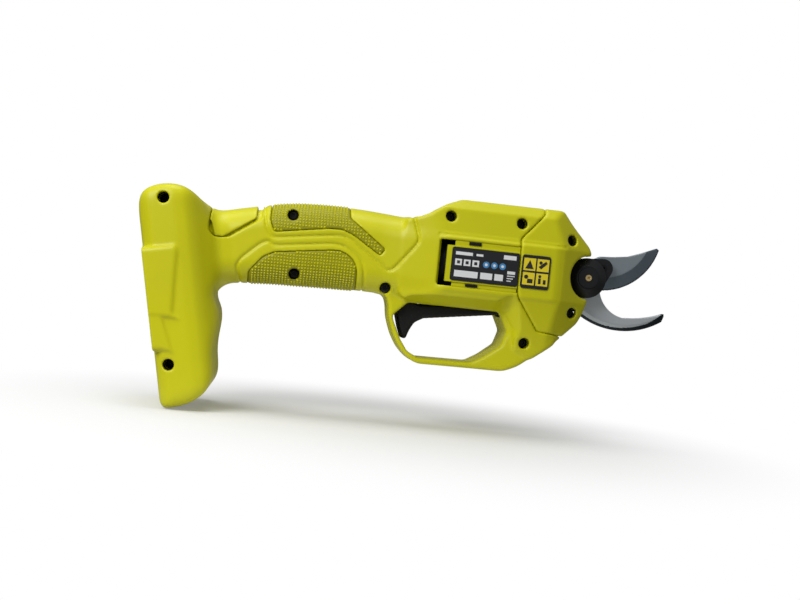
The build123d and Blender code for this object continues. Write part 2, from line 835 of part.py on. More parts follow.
sun_points = gear_points(sun_teeth, module, addendum, dedendum, tooth_thinning, 0.0)
save(spur_gear(0, axis_z, sun_back, sun_front, sun_points, shaft_r), "sun_gear")
for i, angle in enumerate(planet_angles):
    phase = angle + pi / planet_teeth
    points = gear_points(planet_teeth, module, addendum, dedendum, tooth_thinning, phase)
    y = planet_orbit * cos(angle)
    z = axis_z + planet_orbit * sin(angle)
    planet = spur_gear(y, z, planet_back, planet_front, points, planet_pin_r + running_fit)
    save(planet, f"planet_gear_{i + 1}")

ring_phase = pi / ring_teeth
ring_cut = gear_points(ring_teeth, module, dedendum, addendum, -tooth_thinning, ring_phase)
with BuildPart() as ring_gear:
    add(ring_along_x(gear_back, ring_front, gearbox_r))
    add(spur_gear(0, axis_z, gear_back, ring_front, ring_cut, 0), mode=Mode.SUBTRACT)
save(ring_gear.part, "ring_gear")

with BuildPart() as motor_plate:
    add(ring_along_x(motor_front, gear_back, gearbox_r, 5.0))
save(motor_plate.part, "motor_plate")

with BuildPart() as planet_carrier:
    add(ring_along_x(carrier_back, carrier_front, carrier_r))
    for angle in planet_angles:
        y = planet_orbit * cos(angle)
        z = axis_z + planet_orbit * sin(angle)
        pin_plane = Plane(origin=(planet_back - 0.6, y, z), x_dir=(0, 1, 0), z_dir=(1, 0, 0))
        with BuildSketch(pin_plane):
            Circle(planet_pin_r)
        extrude(amount=carrier_back - planet_back + 0.6)
    add(ring_along_x(carrier_front, pinion_step, output_r))
    add(ring_along_x(pinion_step, shank_front, pinion_shank_r))
save(planet_carrier.part, "planet_carrier")

with BuildPart() as output_bearing:
    add(ring_along_x(bearing_back, bearing_front, bearing_r, output_r + running_fit))
    for x in (bearing_back, bearing_front - 0.4):
        add(ring_along_x(x, x + 0.4, bearing_r - 1.6, output_r + 1.6), mode=Mode.SUBTRACT)
save(output_bearing.part, "output_bearing")

# ---- bevel pair: both wheels taper to the point where the two axes cross
bevel_angle = atan2(pinion_teeth, bevel_teeth)  # pitch cone of the pinion
bevel_r = bevel_module * bevel_teeth / 2
pinion_r = bevel_module * pinion_teeth / 2
cone_length = sqrt(bevel_r**2 + pinion_r**2)
small_scale = (cone_length - bevel_face) / cone_length
bevel_backlash = 0.12
apex = Vector(pivot_x, 0, axis_z)


def bevel_tooth(axis, radial, cone_angle, top, base):
    """One tooth, lofted between the outer and the inner end of the face."""
    along = axis * cos(cone_angle) + radial * sin(cone_angle)
    tangent = axis.cross(radial)
    with BuildPart() as tooth:
        for scale in (1.0, small_scale):
            here = Plane(origin=apex + along * (cone_length * scale), x_dir=tangent, z_dir=along)
            up = -1 if here.y_dir.dot(radial * cos(cone_angle) - axis * sin(cone_angle)) < 0 else 1
            half = pi * bevel_module / 4 - bevel_backlash
            tip_half = half - top * tan(pressure_angle)
            base_half = half + base * tan(pressure_angle)
            with BuildSketch(here):
                Polygon(
                    (-base_half * scale, -up * base * scale),
                    (base_half * scale, -up * base * scale),
                    (tip_half * scale, up * top * scale),
                    (-tip_half * scale, up * top * scale),
                    align=None,
                )
        loft(ruled=True)
    return tooth.part


bevel_top = 0.8 * bevel_module
bevel_root = 1.05 * bevel_module
root_sink = 0.2
minus_x = Vector(-1, 0, 0)
minus_y = Vector(0, -1, 0)


def cone_point(cone_angle, depth, scale):
    """Radius and distance along the axis of a point under the pitch cone."""
    reach = cone_length * scale
    r = reach * sin(cone_angle) - depth * scale * cos(cone_angle)
    along = reach * cos(cone_angle) + depth * scale * sin(cone_angle)
    return r, along


big_r, big_x = cone_point(bevel_angle, bevel_root, 1.0)
small_r, small_x = cone_point(bevel_angle, bevel_root, small_scale)
with BuildPart() as bevel_pinion:
    with BuildSketch(Plane.XZ):
        with BuildLine():
            Polyline(
                (pivot_x - small_x, axis_z),
                (pivot_x - small_x, axis_z + small_r),
                (pivot_x - big_x, axis_z + big_r),
                (pinion_back, axis_z + big_r),
                (pinion_back, axis_z),
                close=True,
            )
        make_face()
    revolve(axis=Axis((pivot_x, 0, axis_z), (1, 0, 0)))
    for i in range(pinion_teeth):
        turn = 2 * pi * i / pinion_teeth
        radial = Vector(0, -cos(turn), sin(turn))
        add(bevel_tooth(minus_x, radial, bevel_angle, bevel_top, bevel_root + root_sink))
    add(ring_along_x(pinion_step, shank_front, pinion_shank_r), mode=Mode.SUBTRACT)
    # the small end is turned off flush with the shaft
    add(ring_along_x(shank_front - 0.4, pivot_x - 8.0, 8.0), mode=Mode.SUBTRACT)
save(bevel_pinion.part, "bevel_pinion")

# ================================================================ blades
blade_near = -slide_gap - blade_thick  # near face of the cutting blade
hub_near = blade_near - hub_side
cone_near = hub_near - hub_cone


def at_pivot(points):
    """Points given from the pivot, moved to the pivot."""
    return [(pivot_x + x, axis_z + z) for x, z in points]


def pivot_plane(y):
    """A plane across the pivot at y, with X and Z as its axes."""
    return Plane(origin=(pivot_x, y, axis_z), x_dir=(1, 0, 0), z_dir=(0, -1, 0))


wheel_angle = pi / 2 - bevel_angle
wheel_big_r, wheel_big_y = cone_point(wheel_angle, bevel_root, 1.0)
wheel_small_r, wheel_small_y = cone_point(wheel_angle, bevel_root, small_scale)
sector_rim = 0.45  # rim of the sector beyond the teeth
sector_r = wheel_big_r + sector_rim
with BuildPart() as blade_gear:
    # hub with a cone, drawn as a half section in radius and depth
    with BuildSketch(Plane(origin=(pivot_x, 0, axis_z), x_dir=(1, 0, 0), z_dir=(0, 0, 1))):
        with BuildLine():
            Polyline(
                (bolt_r + running_fit, blade_near),
                (hub_r, blade_near),
                (hub_r, hub_near),
                (hub_cone_r, cone_near),
                (bolt_head_r + slide_gap, cone_near),
                (bolt_head_r + slide_gap, cone_near + 1.5),
                (bolt_r + running_fit, cone_near + 1.5),
                close=True,
            )
        make_face()
    revolve(axis=Axis((pivot_x, 0, axis_z), (0, 1, 0)))
    # arm to the screw on the blade
    with BuildSketch(pivot_plane(blade_near)):
        with BuildLine():
            CenterArc((0, 0), hub_r - 0.2, 0, 360)
            CenterArc(arm_screw_at, arm_r, 0, 360)
        make_hull()
        Circle(hub_r - 1.0, mode=Mode.SUBTRACT)
    extrude(amount=arm_thick)
    # toothed sector towards the pinion
    first = radians(sector_first)
    sector_plane = Plane(
        origin=(pivot_x, 0, axis_z),
        x_dir=(cos(first), 0, sin(first)),
        z_dir=(-sin(first), 0, cos(first)),
    )
    with BuildSketch(sector_plane):
        with BuildLine():
            Polyline(
                (hub_r - 0.5, hub_near),
                (sector_r, hub_near),
                (sector_r, -wheel_big_y),
                (wheel_small_r, -wheel_small_y),
                (hub_r - 0.5, -wheel_small_y),
                close=True,
            )
        make_face()
    pivot_axis = Axis((pivot_x, 0, axis_z), (0, -1, 0))
    revolve(axis=pivot_axis, revolution_arc=sector_last - sector_first)
    tooth_step = 360 / bevel_teeth
    tooth_angles = [180 + (i + 0.5) * tooth_step for i in range(-2, 6)]
    for angle in tooth_angles:
        if sector_first + 3 < angle < sector_last - 3:
            radial = Vector(cos(radians(angle)), 0, sin(radians(angle)))
            add(bevel_tooth(minus_y, radial, wheel_angle, bevel_top, bevel_root + root_sink))
    arm_x = pivot_x + arm_screw_at[0]
    arm_z = axis_z + arm_screw_at[1]
    arm_near = blade_near - arm_thick
    add(pin_along_y(arm_x, arm_z, arm_near - 1, arm_near + 1.8, arm_screw_head_r), mode=Mode.SUBTRACT)
    add(pin_along_y(arm_x, arm_z, arm_near, blade_near + 1, screw_shank_r), mode=Mode.SUBTRACT)
save(blade_gear.part, "blade_gear")

with BuildPart() as arm_screw:
    add(pin_along_y(arm_x, arm_z, arm_near, arm_near + 1.8, arm_screw_head_r))
    add(pin_along_y(arm_x, arm_z, arm_near + 1.8, -slide_gap - 0.3, screw_shank_r))
    with BuildSketch(Plane.XZ.offset(-arm_near)):
        with Locations((arm_x, arm_z)):
            RegularPolygon(1.1, 6)
    extrude(amount=-1.0, mode=Mode.SUBTRACT)
save(arm_screw.part, "arm_screw")

# cutting edge and spine of the moving blade, from the pivot
edge_centre = (9.0, 28.2)
edge_r = 34.0
edge_tip_angle = -13.8
edge_heel_angle = -86.9
grind_width = 6.6
edge_thick = 0.5


def on_circle(centre, r, angle):
    """A point on a circle, angle in degrees."""
    return (centre[0] + r * cos(radians(angle)), centre[1] + r * sin(radians(angle)))


blade_tip = on_circle(edge_centre, edge_r, edge_tip_angle)
blade_heel = on_circle(edge_centre, edge_r, edge_heel_angle)
heel_angle = -36.0
spine_angle = 73.6
with BuildPart() as cutting_blade:
    with BuildSketch(pivot_plane(-slide_gap)):
        with BuildLine():
            ThreePointArc(blade_tip, on_circle(edge_centre, edge_r, -50.0), blade_heel)
            Line(blade_heel, on_circle((0, 0), blade_hub_r, heel_angle))
            ThreePointArc(
                on_circle((0, 0), blade_hub_r, heel_angle),
                on_circle((0, 0), blade_hub_r, 180),
                on_circle((0, 0), blade_hub_r, spine_angle),
            )
            spine_start = on_circle((0, 0), blade_hub_r, spine_angle)
            Spline(spine_start, (8.2, 12.9), (15.5, 13.4), (24.1, 14.6), (31.7, 17.3), (40.4, 21.0))
            Line((40.4, 21.0), blade_tip)
        make_face()
        Circle(bolt_r + running_fit, mode=Mode.SUBTRACT)
    extrude(amount=blade_thick)
    # ground face along the edge, on the near side
    with BuildSketch(Plane(origin=(pivot_x + edge_centre[0], 0, axis_z + edge_centre[1]),
                           x_dir=(1, 0, 0), z_dir=(0, 0, 1))):
        with BuildLine():
            Polyline(
                (edge_r - grind_width, blade_near),
                (edge_r - grind_width, blade_near - 1),
                (edge_r + 1, blade_near - 1),
                (edge_r + 1, -slide_gap - edge_thick),
                (edge_r, -slide_gap - edge_thick),
                close=True,
            )
        make_face()
    grind_axis = Axis((pivot_x + edge_centre[0], 0, axis_z + edge_centre[1]), (0, 1, 0))
    revolve(axis=grind_axis, revolution_arc=78, mode=Mode.SUBTRACT)
    add(pin_along_y(arm_x, arm_z, blade_near - 1, -slide_gap - 0.3, screw_shank_r), mode=Mode.SUBTRACT)
save(cutting_blade.part, "cutting_blade")

# hook blade: inner edge in two arcs, outer edge in one
hook_inner_centre = (27.8, -2.4)
hook_inner_r = 17.3
hook_tip_centre = (25.9, 40.5)
hook_tip_r = 59.85
hook_outer_centre = (24.0, 16.4)
hook_outer_r = 43.3
hook_hub_r = 11.0
hook_screws_at = [(-5.0, -13.4), (5.6, -14.6)]
hook_screw_r = 1.6
tang_points = [(-7.0, -16.3), on_circle((0, 0), hook_hub_r, 210.0)]
with BuildPart() as hook_blade:
    with BuildSketch(pivot_plane(hook_thick)):
        with BuildLine():
            mouth_start = on_circle(hook_inner_centre, hook_inner_r, 197.0)
            arcs_meet = (26.7, hook_inner_centre[1] - sqrt(hook_inner_r**2 - 1.1**2))
            hook_tip = (48.7, -15.0)
            ThreePointArc(mouth_start, on_circle(hook_inner_centre, hook_inner_r, 232.0), arcs_meet)
            ThreePointArc(arcs_meet, (38.0, hook_tip_centre[1] - sqrt(hook_tip_r**2 - 12.1**2)), hook_tip)
            Line(hook_tip, (49.0, -16.4))
            outer_tip = on_circle(hook_outer_centre, hook_outer_r, -56.0)
            outer_root = on_circle(hook_outer_centre, hook_outer_r, -122.5)
            Line((49.0, -16.4), outer_tip)
            ThreePointArc(outer_tip, on_circle(hook_outer_centre, hook_outer_r, -90), outer_root)
            Polyline(outer_root, *tang_points)
            hub_end = on_circle((0, 0), hook_hub_r, -22.0)
            ThreePointArc(tang_points[-1], on_circle((0, 0), hook_hub_r, 90), hub_end)
            Line(hub_end, mouth_start)
        make_face()
        Circle(bolt_r, mode=Mode.SUBTRACT)
    extrude(amount=hook_thick)
    for x, z in at_pivot(hook_screws_at):
        add(pin_along_y(x, z, 0.8, hook_thick + 1, hook_screw_r), mode=Mode.SUBTRACT)
save(hook_blade.part, "hook_blade")

# ---- gear case with the bracket that carries the bolt and the hook blade
bracket_outline = [
    (-25.5, 14.5), (-11.0, 14.5), (-4.0, 10.8), (4.0, 10.2), (10.0, 4.0), (10.0, -4.0), (9.6, -12.0),
    (8.6, -17.0), (3.0, -18.3), (-5.8, -16.6), (-12.0, -14.3), (-25.5, -14.3),
    (-25.5, -8.0), (-11.6, -8.0), (-11.6, 8.0), (-25.5, 8.0),
]
bracket_near = hook_thick
bracket_far = hook_thick + bracket_thick
with BuildPart() as gear_case:
    add(ring_along_x(ring_front, case_front, gearbox_r, output_r + 0.6))
    add(ring_along_x(ring_front, bearing_back, 14.0), mode=Mode.SUBTRACT)
    add(ring_along_x(bearing_back, bearing_front, bearing_r), mode=Mode.SUBTRACT)
    add(plate_xz(at_pivot(bracket_outline), bracket_near, bracket_far))
    add(ring_along_x(bearing_back, bearing_front, bearing_r), mode=Mode.SUBTRACT)
    add(ring_along_x(bearing_front, case_front + 1, output_r + 0.6), mode=Mode.SUBTRACT)
    add(pin_along_y(pivot_x, axis_z, bracket_near, bracket_far, bolt_r), mode=Mode.SUBTRACT)
    for x, z in at_pivot(hook_screws_at):
        add(pin_along_y(x, z, bracket_near, bracket_far, hook_screw_r), mode=Mode.SUBTRACT)
save(gear_case.part, "gear_case")
with BuildPart() as hook_screws:
    for x, z in at_pivot(hook_screws_at):
        add(pin_along_y(x, z, 0.8, bracket_far, hook_screw_r))
        add(pin_along_y(x, z, bracket_far, bracket_far + 1.8, 2.6))
save(hook_screws.part, "hook_screws")

# ---- pivot bolt, washer, nut and grease nipple
washer_thick = 1.2
nut_thick = 4.6
nut_far = bracket_far + washer_thick + nut_thick
nipple_r = 1.7
with BuildPart() as pivot_bolt:
    head_seat = cone_near + 1.5 - slide_gap
    add(pin_along_y(pivot_x, axis_z, cone_near - 0.7, head_seat, bolt_head_r))
    add(pin_along_y(pivot_x, axis_z, head_seat, nut_far + 1.2, bolt_r))
    add(pin_along_y(pivot_x, axis_z, cone_near - 1, cone_near + 3, nipple_r), mode=Mode.SUBTRACT)
save(pivot_bolt.part, "pivot_bolt")
with BuildPart() as grease_nipple:
    add(pin_along_y(pivot_x, axis_z, cone_near - 1.1, cone_near + 3, nipple_r))
    add(pin_along_y(pivot_x, axis_z, cone_near - 2, cone_near + 0.5, 0.8), mode=Mode.SUBTRACT)
save(grease_nipple.part, "grease_nipple")
with BuildPart() as pivot_washer:
    add(pin_along_y(pivot_x, axis_z, bracket_far, bracket_far + washer_thick, 8.4))
    add(pin_along_y(pivot_x, axis_z, bracket_far - 1, nut_far, bolt_r), mode=Mode.SUBTRACT)
save(pivot_washer.part, "pivot_washer")
with BuildPart() as pivot_nut:
    with BuildSketch(Plane.XZ.offset(-bracket_far - washer_thick)):
        with Locations((pivot_x, axis_z)):
            RegularPolygon(7.5, 6)
            Circle(bolt_r, mode=Mode.SUBTRACT)
    extrude(amount=-nut_thick)
save(pivot_nut.part, "pivot_nut")

# ================================================================ trigger and its switch
trigger_outline = [
    (128.9, 4.4), (131.4, -3.9), (133.4, -8.4), (135.4, -8.4), (136.8, -4.0), (139.2, 0.6), (143.8, 3.4),
    (183.2, trigger_under), (188.0, 10.5), (188.0, 16.0), (183.0, 13.6), (139.4, trigger_step),
    (138.5, trigger_top), (128.4, trigger_top),
]
pivot_tx, pivot_tz = trigger_pivot
with BuildPart() as trigger:
    add(plate_xz(trigger_outline, -trigger_width / 2, trigger_width / 2))
    add(pin_along_y(pivot_tx, pivot_tz, -trigger_width / 2, trigger_width / 2, trigger_hub_r))
    trigger_bore = trigger_pin_r + running_fit
    add(pin_along_y(pivot_tx, pivot_tz, -half_body, half_body, trigger_bore), mode=Mode.SUBTRACT)
save(trigger.part, "trigger")
with BuildPart() as trigger_pin:
    add(pin_along_y(pivot_tx, pivot_tz, -trigger_pin_half, trigger_pin_half, trigger_pin_r))
save(trigger_pin.part, "trigger_pin")

spring_coils = 5
spring_wire_r = 0.35
spring_r = 2.4
spring_low = trigger_top + spring_wire_r
spring_high = bridge_low - spring_wire_r
with BuildPart() as trigger_spring:
    with BuildLine() as coil:
        Helix(
            pitch=(spring_high - spring_low) / spring_coils,
            height=spring_high - spring_low,
            radius=spring_r,
            center=(spring_x, 0, spring_low),
        )
    with BuildSketch(coil.line ^ 0):
        Circle(spring_wire_r)
    sweep()
save(trigger_spring.part, "trigger_spring")

plunger_r = 2.0
plunger_gap = 0.15
with BuildPart() as switch_plunger:
    with BuildSketch(Plane.XY.offset(trigger_top + plunger_gap)):
        with Locations((plunger_x, 0)):
            Circle(0.8)
    with BuildSketch(Plane.XY.offset(trigger_top + plunger_gap + 1.6)):
        with Locations((plunger_x, 0)):
            Circle(plunger_r)
    loft()
    with BuildSketch(Plane.XY.offset(trigger_top + plunger_gap + 1.6)):
        with Locations((plunger_x, 0)):
            Circle(plunger_r)
    extrude(amount=switch_bottom - trigger_top)
save(switch_plunger.part, "switch_plunger")

plunger_top = switch_bottom + plunger_gap + 1.6
with BuildPart() as trigger_switch:
    add(block(switch_x0, switch_x1, -switch_half, switch_half, switch_bottom, switch_top))
    with BuildSketch(Plane.XY.offset(switch_bottom)):
        with Locations((plunger_x, 0)):
            Circle(plunger_r + running_fit)
    extrude(amount=plunger_top + plunger_travel + 0.6 - switch_bottom, mode=Mode.SUBTRACT)
save(trigger_switch.part, "trigger_switch")

# ================================================================ power switch on the grip
with BuildPart() as lug:
    add(block(*cap_lug, -cap_lug_half, cap_lug_half, lug_low, body_top))
    add(grip_form(cap_thick - 0.6), mode=Mode.INTERSECT)
with BuildPart() as power_switch_cap:
    with BuildSketch(side):
        with BuildLine():
            Polyline(*cap_top_line, close=True)
        make_face()
    extrude(amount=half_body, both=True)
    add(grip_outer, mode=Mode.INTERSECT)
    add(grip_form(cap_thick), mode=Mode.SUBTRACT)
    add(lug.part)
save(power_switch_cap.part, "power_switch_cap")

with BuildPart() as power_switch:
    add(block(*power_x, -power_half, power_half, power_low, power_high))
    add(block(*cap_window, -cap_lug_half - 0.6, cap_lug_half + 0.6, lug_low - 0.8, power_high + 1),
        mode=Mode.SUBTRACT)
save(power_switch.part, "power_switch")

# ================================================================ electronics
with BuildPart() as control_board:
    add(block(board_back, board_front, -board_half, board_half, board_z, board_z + board_thick))
save(control_board.part, "control_board")
board_top = board_z + board_thick
chip_footprints = [  # x limits, y limits, height on the board
    (84.0, 92.0, -9.0, -3.5, 6.0),
    (84.0, 92.0, 3.5, 9.0, 6.0),
    (94.0, 101.0, -8.0, 8.0, 2.4),
    (68.0, 77.0, -6.0, 6.0, 3.2),
]
capacitor_x = (87.0, 97.0)
capacitor_y = 4.6
capacitor_r = 3.6
capacitor_length = 8.5
with BuildPart() as board_parts:
    for x0, x1, y0, y1, height in chip_footprints:
        add(block(x0, x1, y0, y1, board_top, board_top + height))
    for x in capacitor_x:
        for y in (-capacitor_y, capacitor_y):
            with BuildSketch(Plane.XY.offset(board_z)):
                with Locations((x, y)):
                    Circle(capacitor_r)
            extrude(amount=-capacitor_length)
save(board_parts.part, "board_parts")

lead_r = 0.8


def lead(points, bend):
    """A covered wire: straight runs joined by tangent arcs."""
    with BuildPart() as wire:
        with BuildLine() as route:
            FilletPolyline(*points, radius=bend)
        with BuildSketch(route.line ^ 0):
            Circle(lead_r)
        sweep()
    return wire.part


lead_z = board_z + board_thick / 2
terminal_end = foot_plane.from_local_coords(Vector(stem_centre + 7.0, 0, sleeve_end))
slide_dir = foot_plane.z_dir
with BuildPart() as leads:
    for y in (-6.0, 6.0):
        start = Vector(terminal_end.X, y, terminal_end.Z)
        add(lead([start, start + slide_dir * 9, (board_back - 7, y, lead_z), (board_back, y, lead_z)], 3.0))
    for y in (-5.5, 5.5):
        end_x = motor_back - end_cap_thick
        route = [(board_front, y, lead_z), (board_front + 4.5, y, lead_z), (board_front + 10, y, 43.5),
                 (end_x - 8, y, 46.0), (end_x, y, 46.0)]
        add(lead(route, 3.0))
    for y in (-2.0, 2.0):
        x = switch_x0 + 3.0
        route = [(x, y, switch_top), (x, y, switch_top + 4), (board_front + 6.5, y, switch_top + 4),
                 (board_front + 4, y, lead_z), (board_front, y, lead_z)]
        add(lead(route, 1.8))
        x = power_x[1]
        route = [(x, y, power_low + 3), (x + 4.5, y, power_low + 3), (board_back - 4, y, lead_z),
                 (board_back, y, lead_z)]
        add(lead(route, 2.0))
save(leads.part, "leads")
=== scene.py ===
import json
import math

import bpy
import numpy as np
from mathutils import Matrix, Vector


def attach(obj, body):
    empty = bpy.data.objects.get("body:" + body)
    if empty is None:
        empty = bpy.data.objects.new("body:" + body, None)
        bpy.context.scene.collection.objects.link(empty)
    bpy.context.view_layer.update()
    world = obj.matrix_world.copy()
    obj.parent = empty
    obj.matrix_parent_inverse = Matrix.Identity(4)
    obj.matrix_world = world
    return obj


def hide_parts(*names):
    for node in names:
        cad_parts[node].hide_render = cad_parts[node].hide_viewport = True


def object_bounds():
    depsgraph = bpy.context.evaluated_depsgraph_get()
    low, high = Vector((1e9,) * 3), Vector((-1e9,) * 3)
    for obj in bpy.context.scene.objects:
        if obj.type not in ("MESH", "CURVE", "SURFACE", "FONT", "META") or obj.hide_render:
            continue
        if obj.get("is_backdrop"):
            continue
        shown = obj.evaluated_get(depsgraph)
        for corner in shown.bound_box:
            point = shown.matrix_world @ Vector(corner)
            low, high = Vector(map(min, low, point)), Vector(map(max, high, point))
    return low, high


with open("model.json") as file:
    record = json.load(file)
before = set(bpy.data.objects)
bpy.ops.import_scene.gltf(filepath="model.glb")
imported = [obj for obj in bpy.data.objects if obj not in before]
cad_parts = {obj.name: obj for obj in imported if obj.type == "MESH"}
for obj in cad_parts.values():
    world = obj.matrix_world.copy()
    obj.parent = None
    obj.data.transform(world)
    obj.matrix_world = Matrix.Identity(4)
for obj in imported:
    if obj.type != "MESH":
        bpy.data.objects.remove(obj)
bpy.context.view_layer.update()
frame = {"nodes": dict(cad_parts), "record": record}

MM = 0.001

# ---------------------------------------------------------------- sizes of the visible forms (mm)
FOOT_TILT = math.radians(12.0)
FOOT_LENGTH = 117.0
FOOT_HALF = 39.0
FOOT_CORNER = 12.0
GRIP_CORNER = 13.0
BODY_HALF = 26.0
BODY_TOP = 68.7
GUARD_HALF = 13.0
WALL = 3.0
AXIS_Z = 34.5
PIVOT_X = 230.5
NOSE_END = 231.5
NOSE_CUT_R = 11.7
SEAM_GAP = 0.22
LIP_DEPTH = 1.3  # the lip behind a seam starts this far under the surface
PAD_THICK = 1.6
PAD_FRONT = 125.0  # no pad reaches this far
CAP_THICK = 1.8
CAP_CLEARANCE = 0.55
SCREW_POCKET_R = 2.95
SCREW_HEAD_R = 2.7
SCREW_HEAD_H = 2.2
SCREW_SHANK_R = 1.5
SCREW_LENGTH = 14.0
SCREW_BOSS_R = 4.6
NOSE_BOSS_R = 3.4
HALF_GAP = 0.02  # each housing half stops this short of the mid plane

# spacing of the points that each form is meshed from
HOUSING_STEP = 0.72
CAP_STEP = 0.5
BLADE_STEP = 0.36
TRIGGER_STEP = 0.5
PAD_STEP = 0.6

# how far edges and corners are rounded over
FOOT_FILLET = 9.0
BODY_FILLET = 2.5
HOLLOW_FILLET = 4.0
OPENING_ROUND = 1.4
OPENING_EDGE = 2.2
SCOOP_EDGE = 0.5
SADDLE_ROUND = 3.0
PAD_ROUND = 1.6
PAD_EDGE = 0.8
CAP_ROUND = 1.2
CAP_EDGE = 0.6
POCKET_EDGE = 0.7
SLOT_ROUND = 1.2
SEAM_EDGE = 0.9
HALF_EDGE = 0.5

# width and depth of the lines pressed into the skin
FRAME_GROOVE = (1.1, 1.05)
LEDGE_GROOVE = (0.95, 0.7)

# a field across a sloping face is scaled down, so that it stays near the true distance
FOOT_PLAN_SCALE = 0.85
BLOCK_SCALE = 0.8
SECTION_SCALE = 0.93
PLAN_SCALE = 0.9
SCOOP_SCALE = 0.85

SIN_TILT = math.sin(FOOT_TILT)
COS_TILT = math.cos(FOOT_TILT)

# side outline of the foot: distance down the battery face, distance into the tool
FOOT_OUTLINE = [
    (-47.0, 0.0), (-52.6, 2.0), (-56.6, 6.4), (-58.4, 12.4), (-57.6, 18.6), (-54.2, 24.6), (-49.4, 30.0),
    (-43.0, 34.2), (-30.0, 36.6), (-6.0, 35.4), (2.0, 31.5), (12.0, 34.6), (30.0, 28.6), (44.0, 28.0),
    (50.6, 24.2), (56.0, 16.0), (58.5, 9.2), (58.5, 3.0), (57.0, 0.0),
]
# half width of the foot at distances into the tool
FOOT_PLAN = [(0.0, 32.5), (5.6, 36.4), (18.0, 37.0), (24.0, 35.2), (28.0, 31.5), (33.0, 24.0), (38.0, 14.0)]
# the raised block on the foot's side and the smaller step below it
FOOT_BLOCK = [
    (-25.5, -2.0), (-25.5, 17.5), (-22.0, 18.5), (9.0, 12.6), (13.2, 15.8), (11.0, 5.0), (10.2, -2.0),
]
FOOT_STEP = [(8.0, -2.0), (8.0, 7.0), (30.3, 10.9), (27.6, 4.0), (27.0, -2.0)]
FOOT_STEP_HALF = 38.2
FOOT_OUTLINE_ROUND = 7.0
FOOT_FACE_ROUND = 6.0
FOOT_SIDE_ROUND = 4.0
BLOCK_DRAFT_FROM = 2.2  # the raised blocks lean in from this far below their faces
BLOCK_DRAFT = 0.7

# grip stations: x, bottom, top, half width
GRIP_STATIONS = [
    (8.0, 5.8, 44.2, 17.5), (14.0, 7.2, 45.6, 17.5), (30.0, 10.6, 49.0, 17.5), (44.0, 12.2, 52.4, 17.5),
    (54.0, 13.1, 54.6, 17.6), (63.0, 13.5, 56.4, 17.8), (72.7, 13.7, 57.6, 18.0), (83.0, 14.1, 58.2, 18.0),
    (95.0, 14.4, 58.4, 18.0), (108.0, 14.7, 57.9, 18.5), (118.0, 14.4, 57.2, 19.0), (128.0, 13.4, 56.3, 20.6),
    (140.0, 12.5, 57.0, 22.5),
]
GRIP_START = 6.0
GRIP_END = 146.0
STATION_BLUR = 3.0
BODY_OUTLINE = [
    (128.0, 15.2), (128.0, 55.4), (135.4, 57.2), (141.4, 60.2), (148.0, 64.9), (157.0, BODY_TOP),
    (212.8, BODY_TOP), (218.6, 61.8), (230.2, 50.6), (NOSE_END, 47.0), (NOSE_END, 22.0), (229.4, 13.9),
    (227.0, 8.8), (215.2, -2.5), (202.7, -12.1), (193.0, -8.0), (191.0, 4.0), (186.0, 11.6), (134.0, 11.6),
]
GUARD_OUTLINE = [
    (121.0, 15.3), (123.6, 9.8), (124.6, 2.0), (127.7, -6.4), (131.7, -13.2), (136.6, -18.1), (142.0, -21.0),
    (188.9, -20.6), (196.5, -17.2), (202.7, -12.1), (215.2, -2.5), (200.0, 20.0), (130.0, 20.0),
]
FINGER_OUTLINE = [
    (126.8, 3.4), (134.2, 11.0), (183.6, 11.0), (188.6, 1.0), (186.2, -6.8), (177.9, -13.4), (171.0, -17.3),
    (142.4, -17.6), (136.5, -14.6), (132.2, -8.6), (127.9, 0.2),
]
# half width of the body at heights and at distances along it
BODY_SECTION = [
    (-22.0, 13.0), (18.6, 24.6), (20.3, 26.0), (47.8, 26.0), (50.4, 24.0), (63.2, 22.6), (68.7, 18.0),
]
BODY_PLAN = [
    (110.0, 17.5), (126.0, 19.2), (146.0, 24.2), (151.0, 26.0), (208.8, 26.0), (213.8, 24.2), (233.0, 12.3),
]
PLATEAU_TOP = 48.0
PLATEAU_BOTTOM = 20.0
NOSE_LEAN = 0.58
NOSE_LEAN_FROM = 180.0
LEDGE_Z = 48.9  # fine line along the upper edge of the flat side
LEDGE_START = 146.0
LEDGE_END = 214.0
GUARD_FLARE_FROM = 172.0  # the guard widens ahead of this
GUARD_FLARE = 0.10
SCOOP_SPREAD = 0.53  # slope of the scoop round the finger opening, and what it gains at the front
SCOOP_SPREAD_FRONT = 0.36
SCOOP_FRONT_FROM = 180.0
SCOOP_FRONT_LENGTH = 8.0
NOSE_SEAM = [
    (202.0, 74.0), (202.0, 65.4), (189.6, 50.9), (189.6, 25.6), (190.7, 20.1), (203.9, 2.8), (212.0, 2.2),
    (222.0, 0.6), (260.0, 0.6), (260.0, 74.0),
]
PAD_UPPER = [
    (57.0, 70.0), (57.0, 46.5), (59.5, 40.6), (88.5, 45.4), (95.1, 45.6), (101.0, 43.4), (116.2, 34.0),
    (118.8, 37.8), (98.9, 52.2), (98.2, 70.0),
]
PAD_LOWER = [
    (47.6, 0.0), (48.2, 18.9), (55.1, 27.3), (60.9, 30.4), (89.6, 34.4), (94.4, 34.8), (99.0, 33.2),
    (102.8, 30.2), (104.8, 25.6), (106.6, 0.0),
]
SADDLE_UPPER = [
    (53.6, 74.0), (53.9, 50.0), (54.9, 43.9), (58.4, 37.6), (88.9, 42.0), (94.9, 42.6), (99.9, 41.4),
    (117.5, 29.4), (120.5, 26.6), (123.9, 27.8), (135.4, 43.1), (135.4, 46.2), (132.0, 56.0), (131.0, 74.0),
]
SADDLE_LOWER = [
    (44.4, 0.0), (44.4, 13.0), (42.3, 18.9), (41.9, 21.9), (44.1, 25.4), (53.2, 34.0), (57.4, 36.0),
    (59.6, 33.6), (91.0, 38.0), (98.0, 37.0), (106.5, 31.0), (108.6, 25.6), (110.6, 0.0),
]
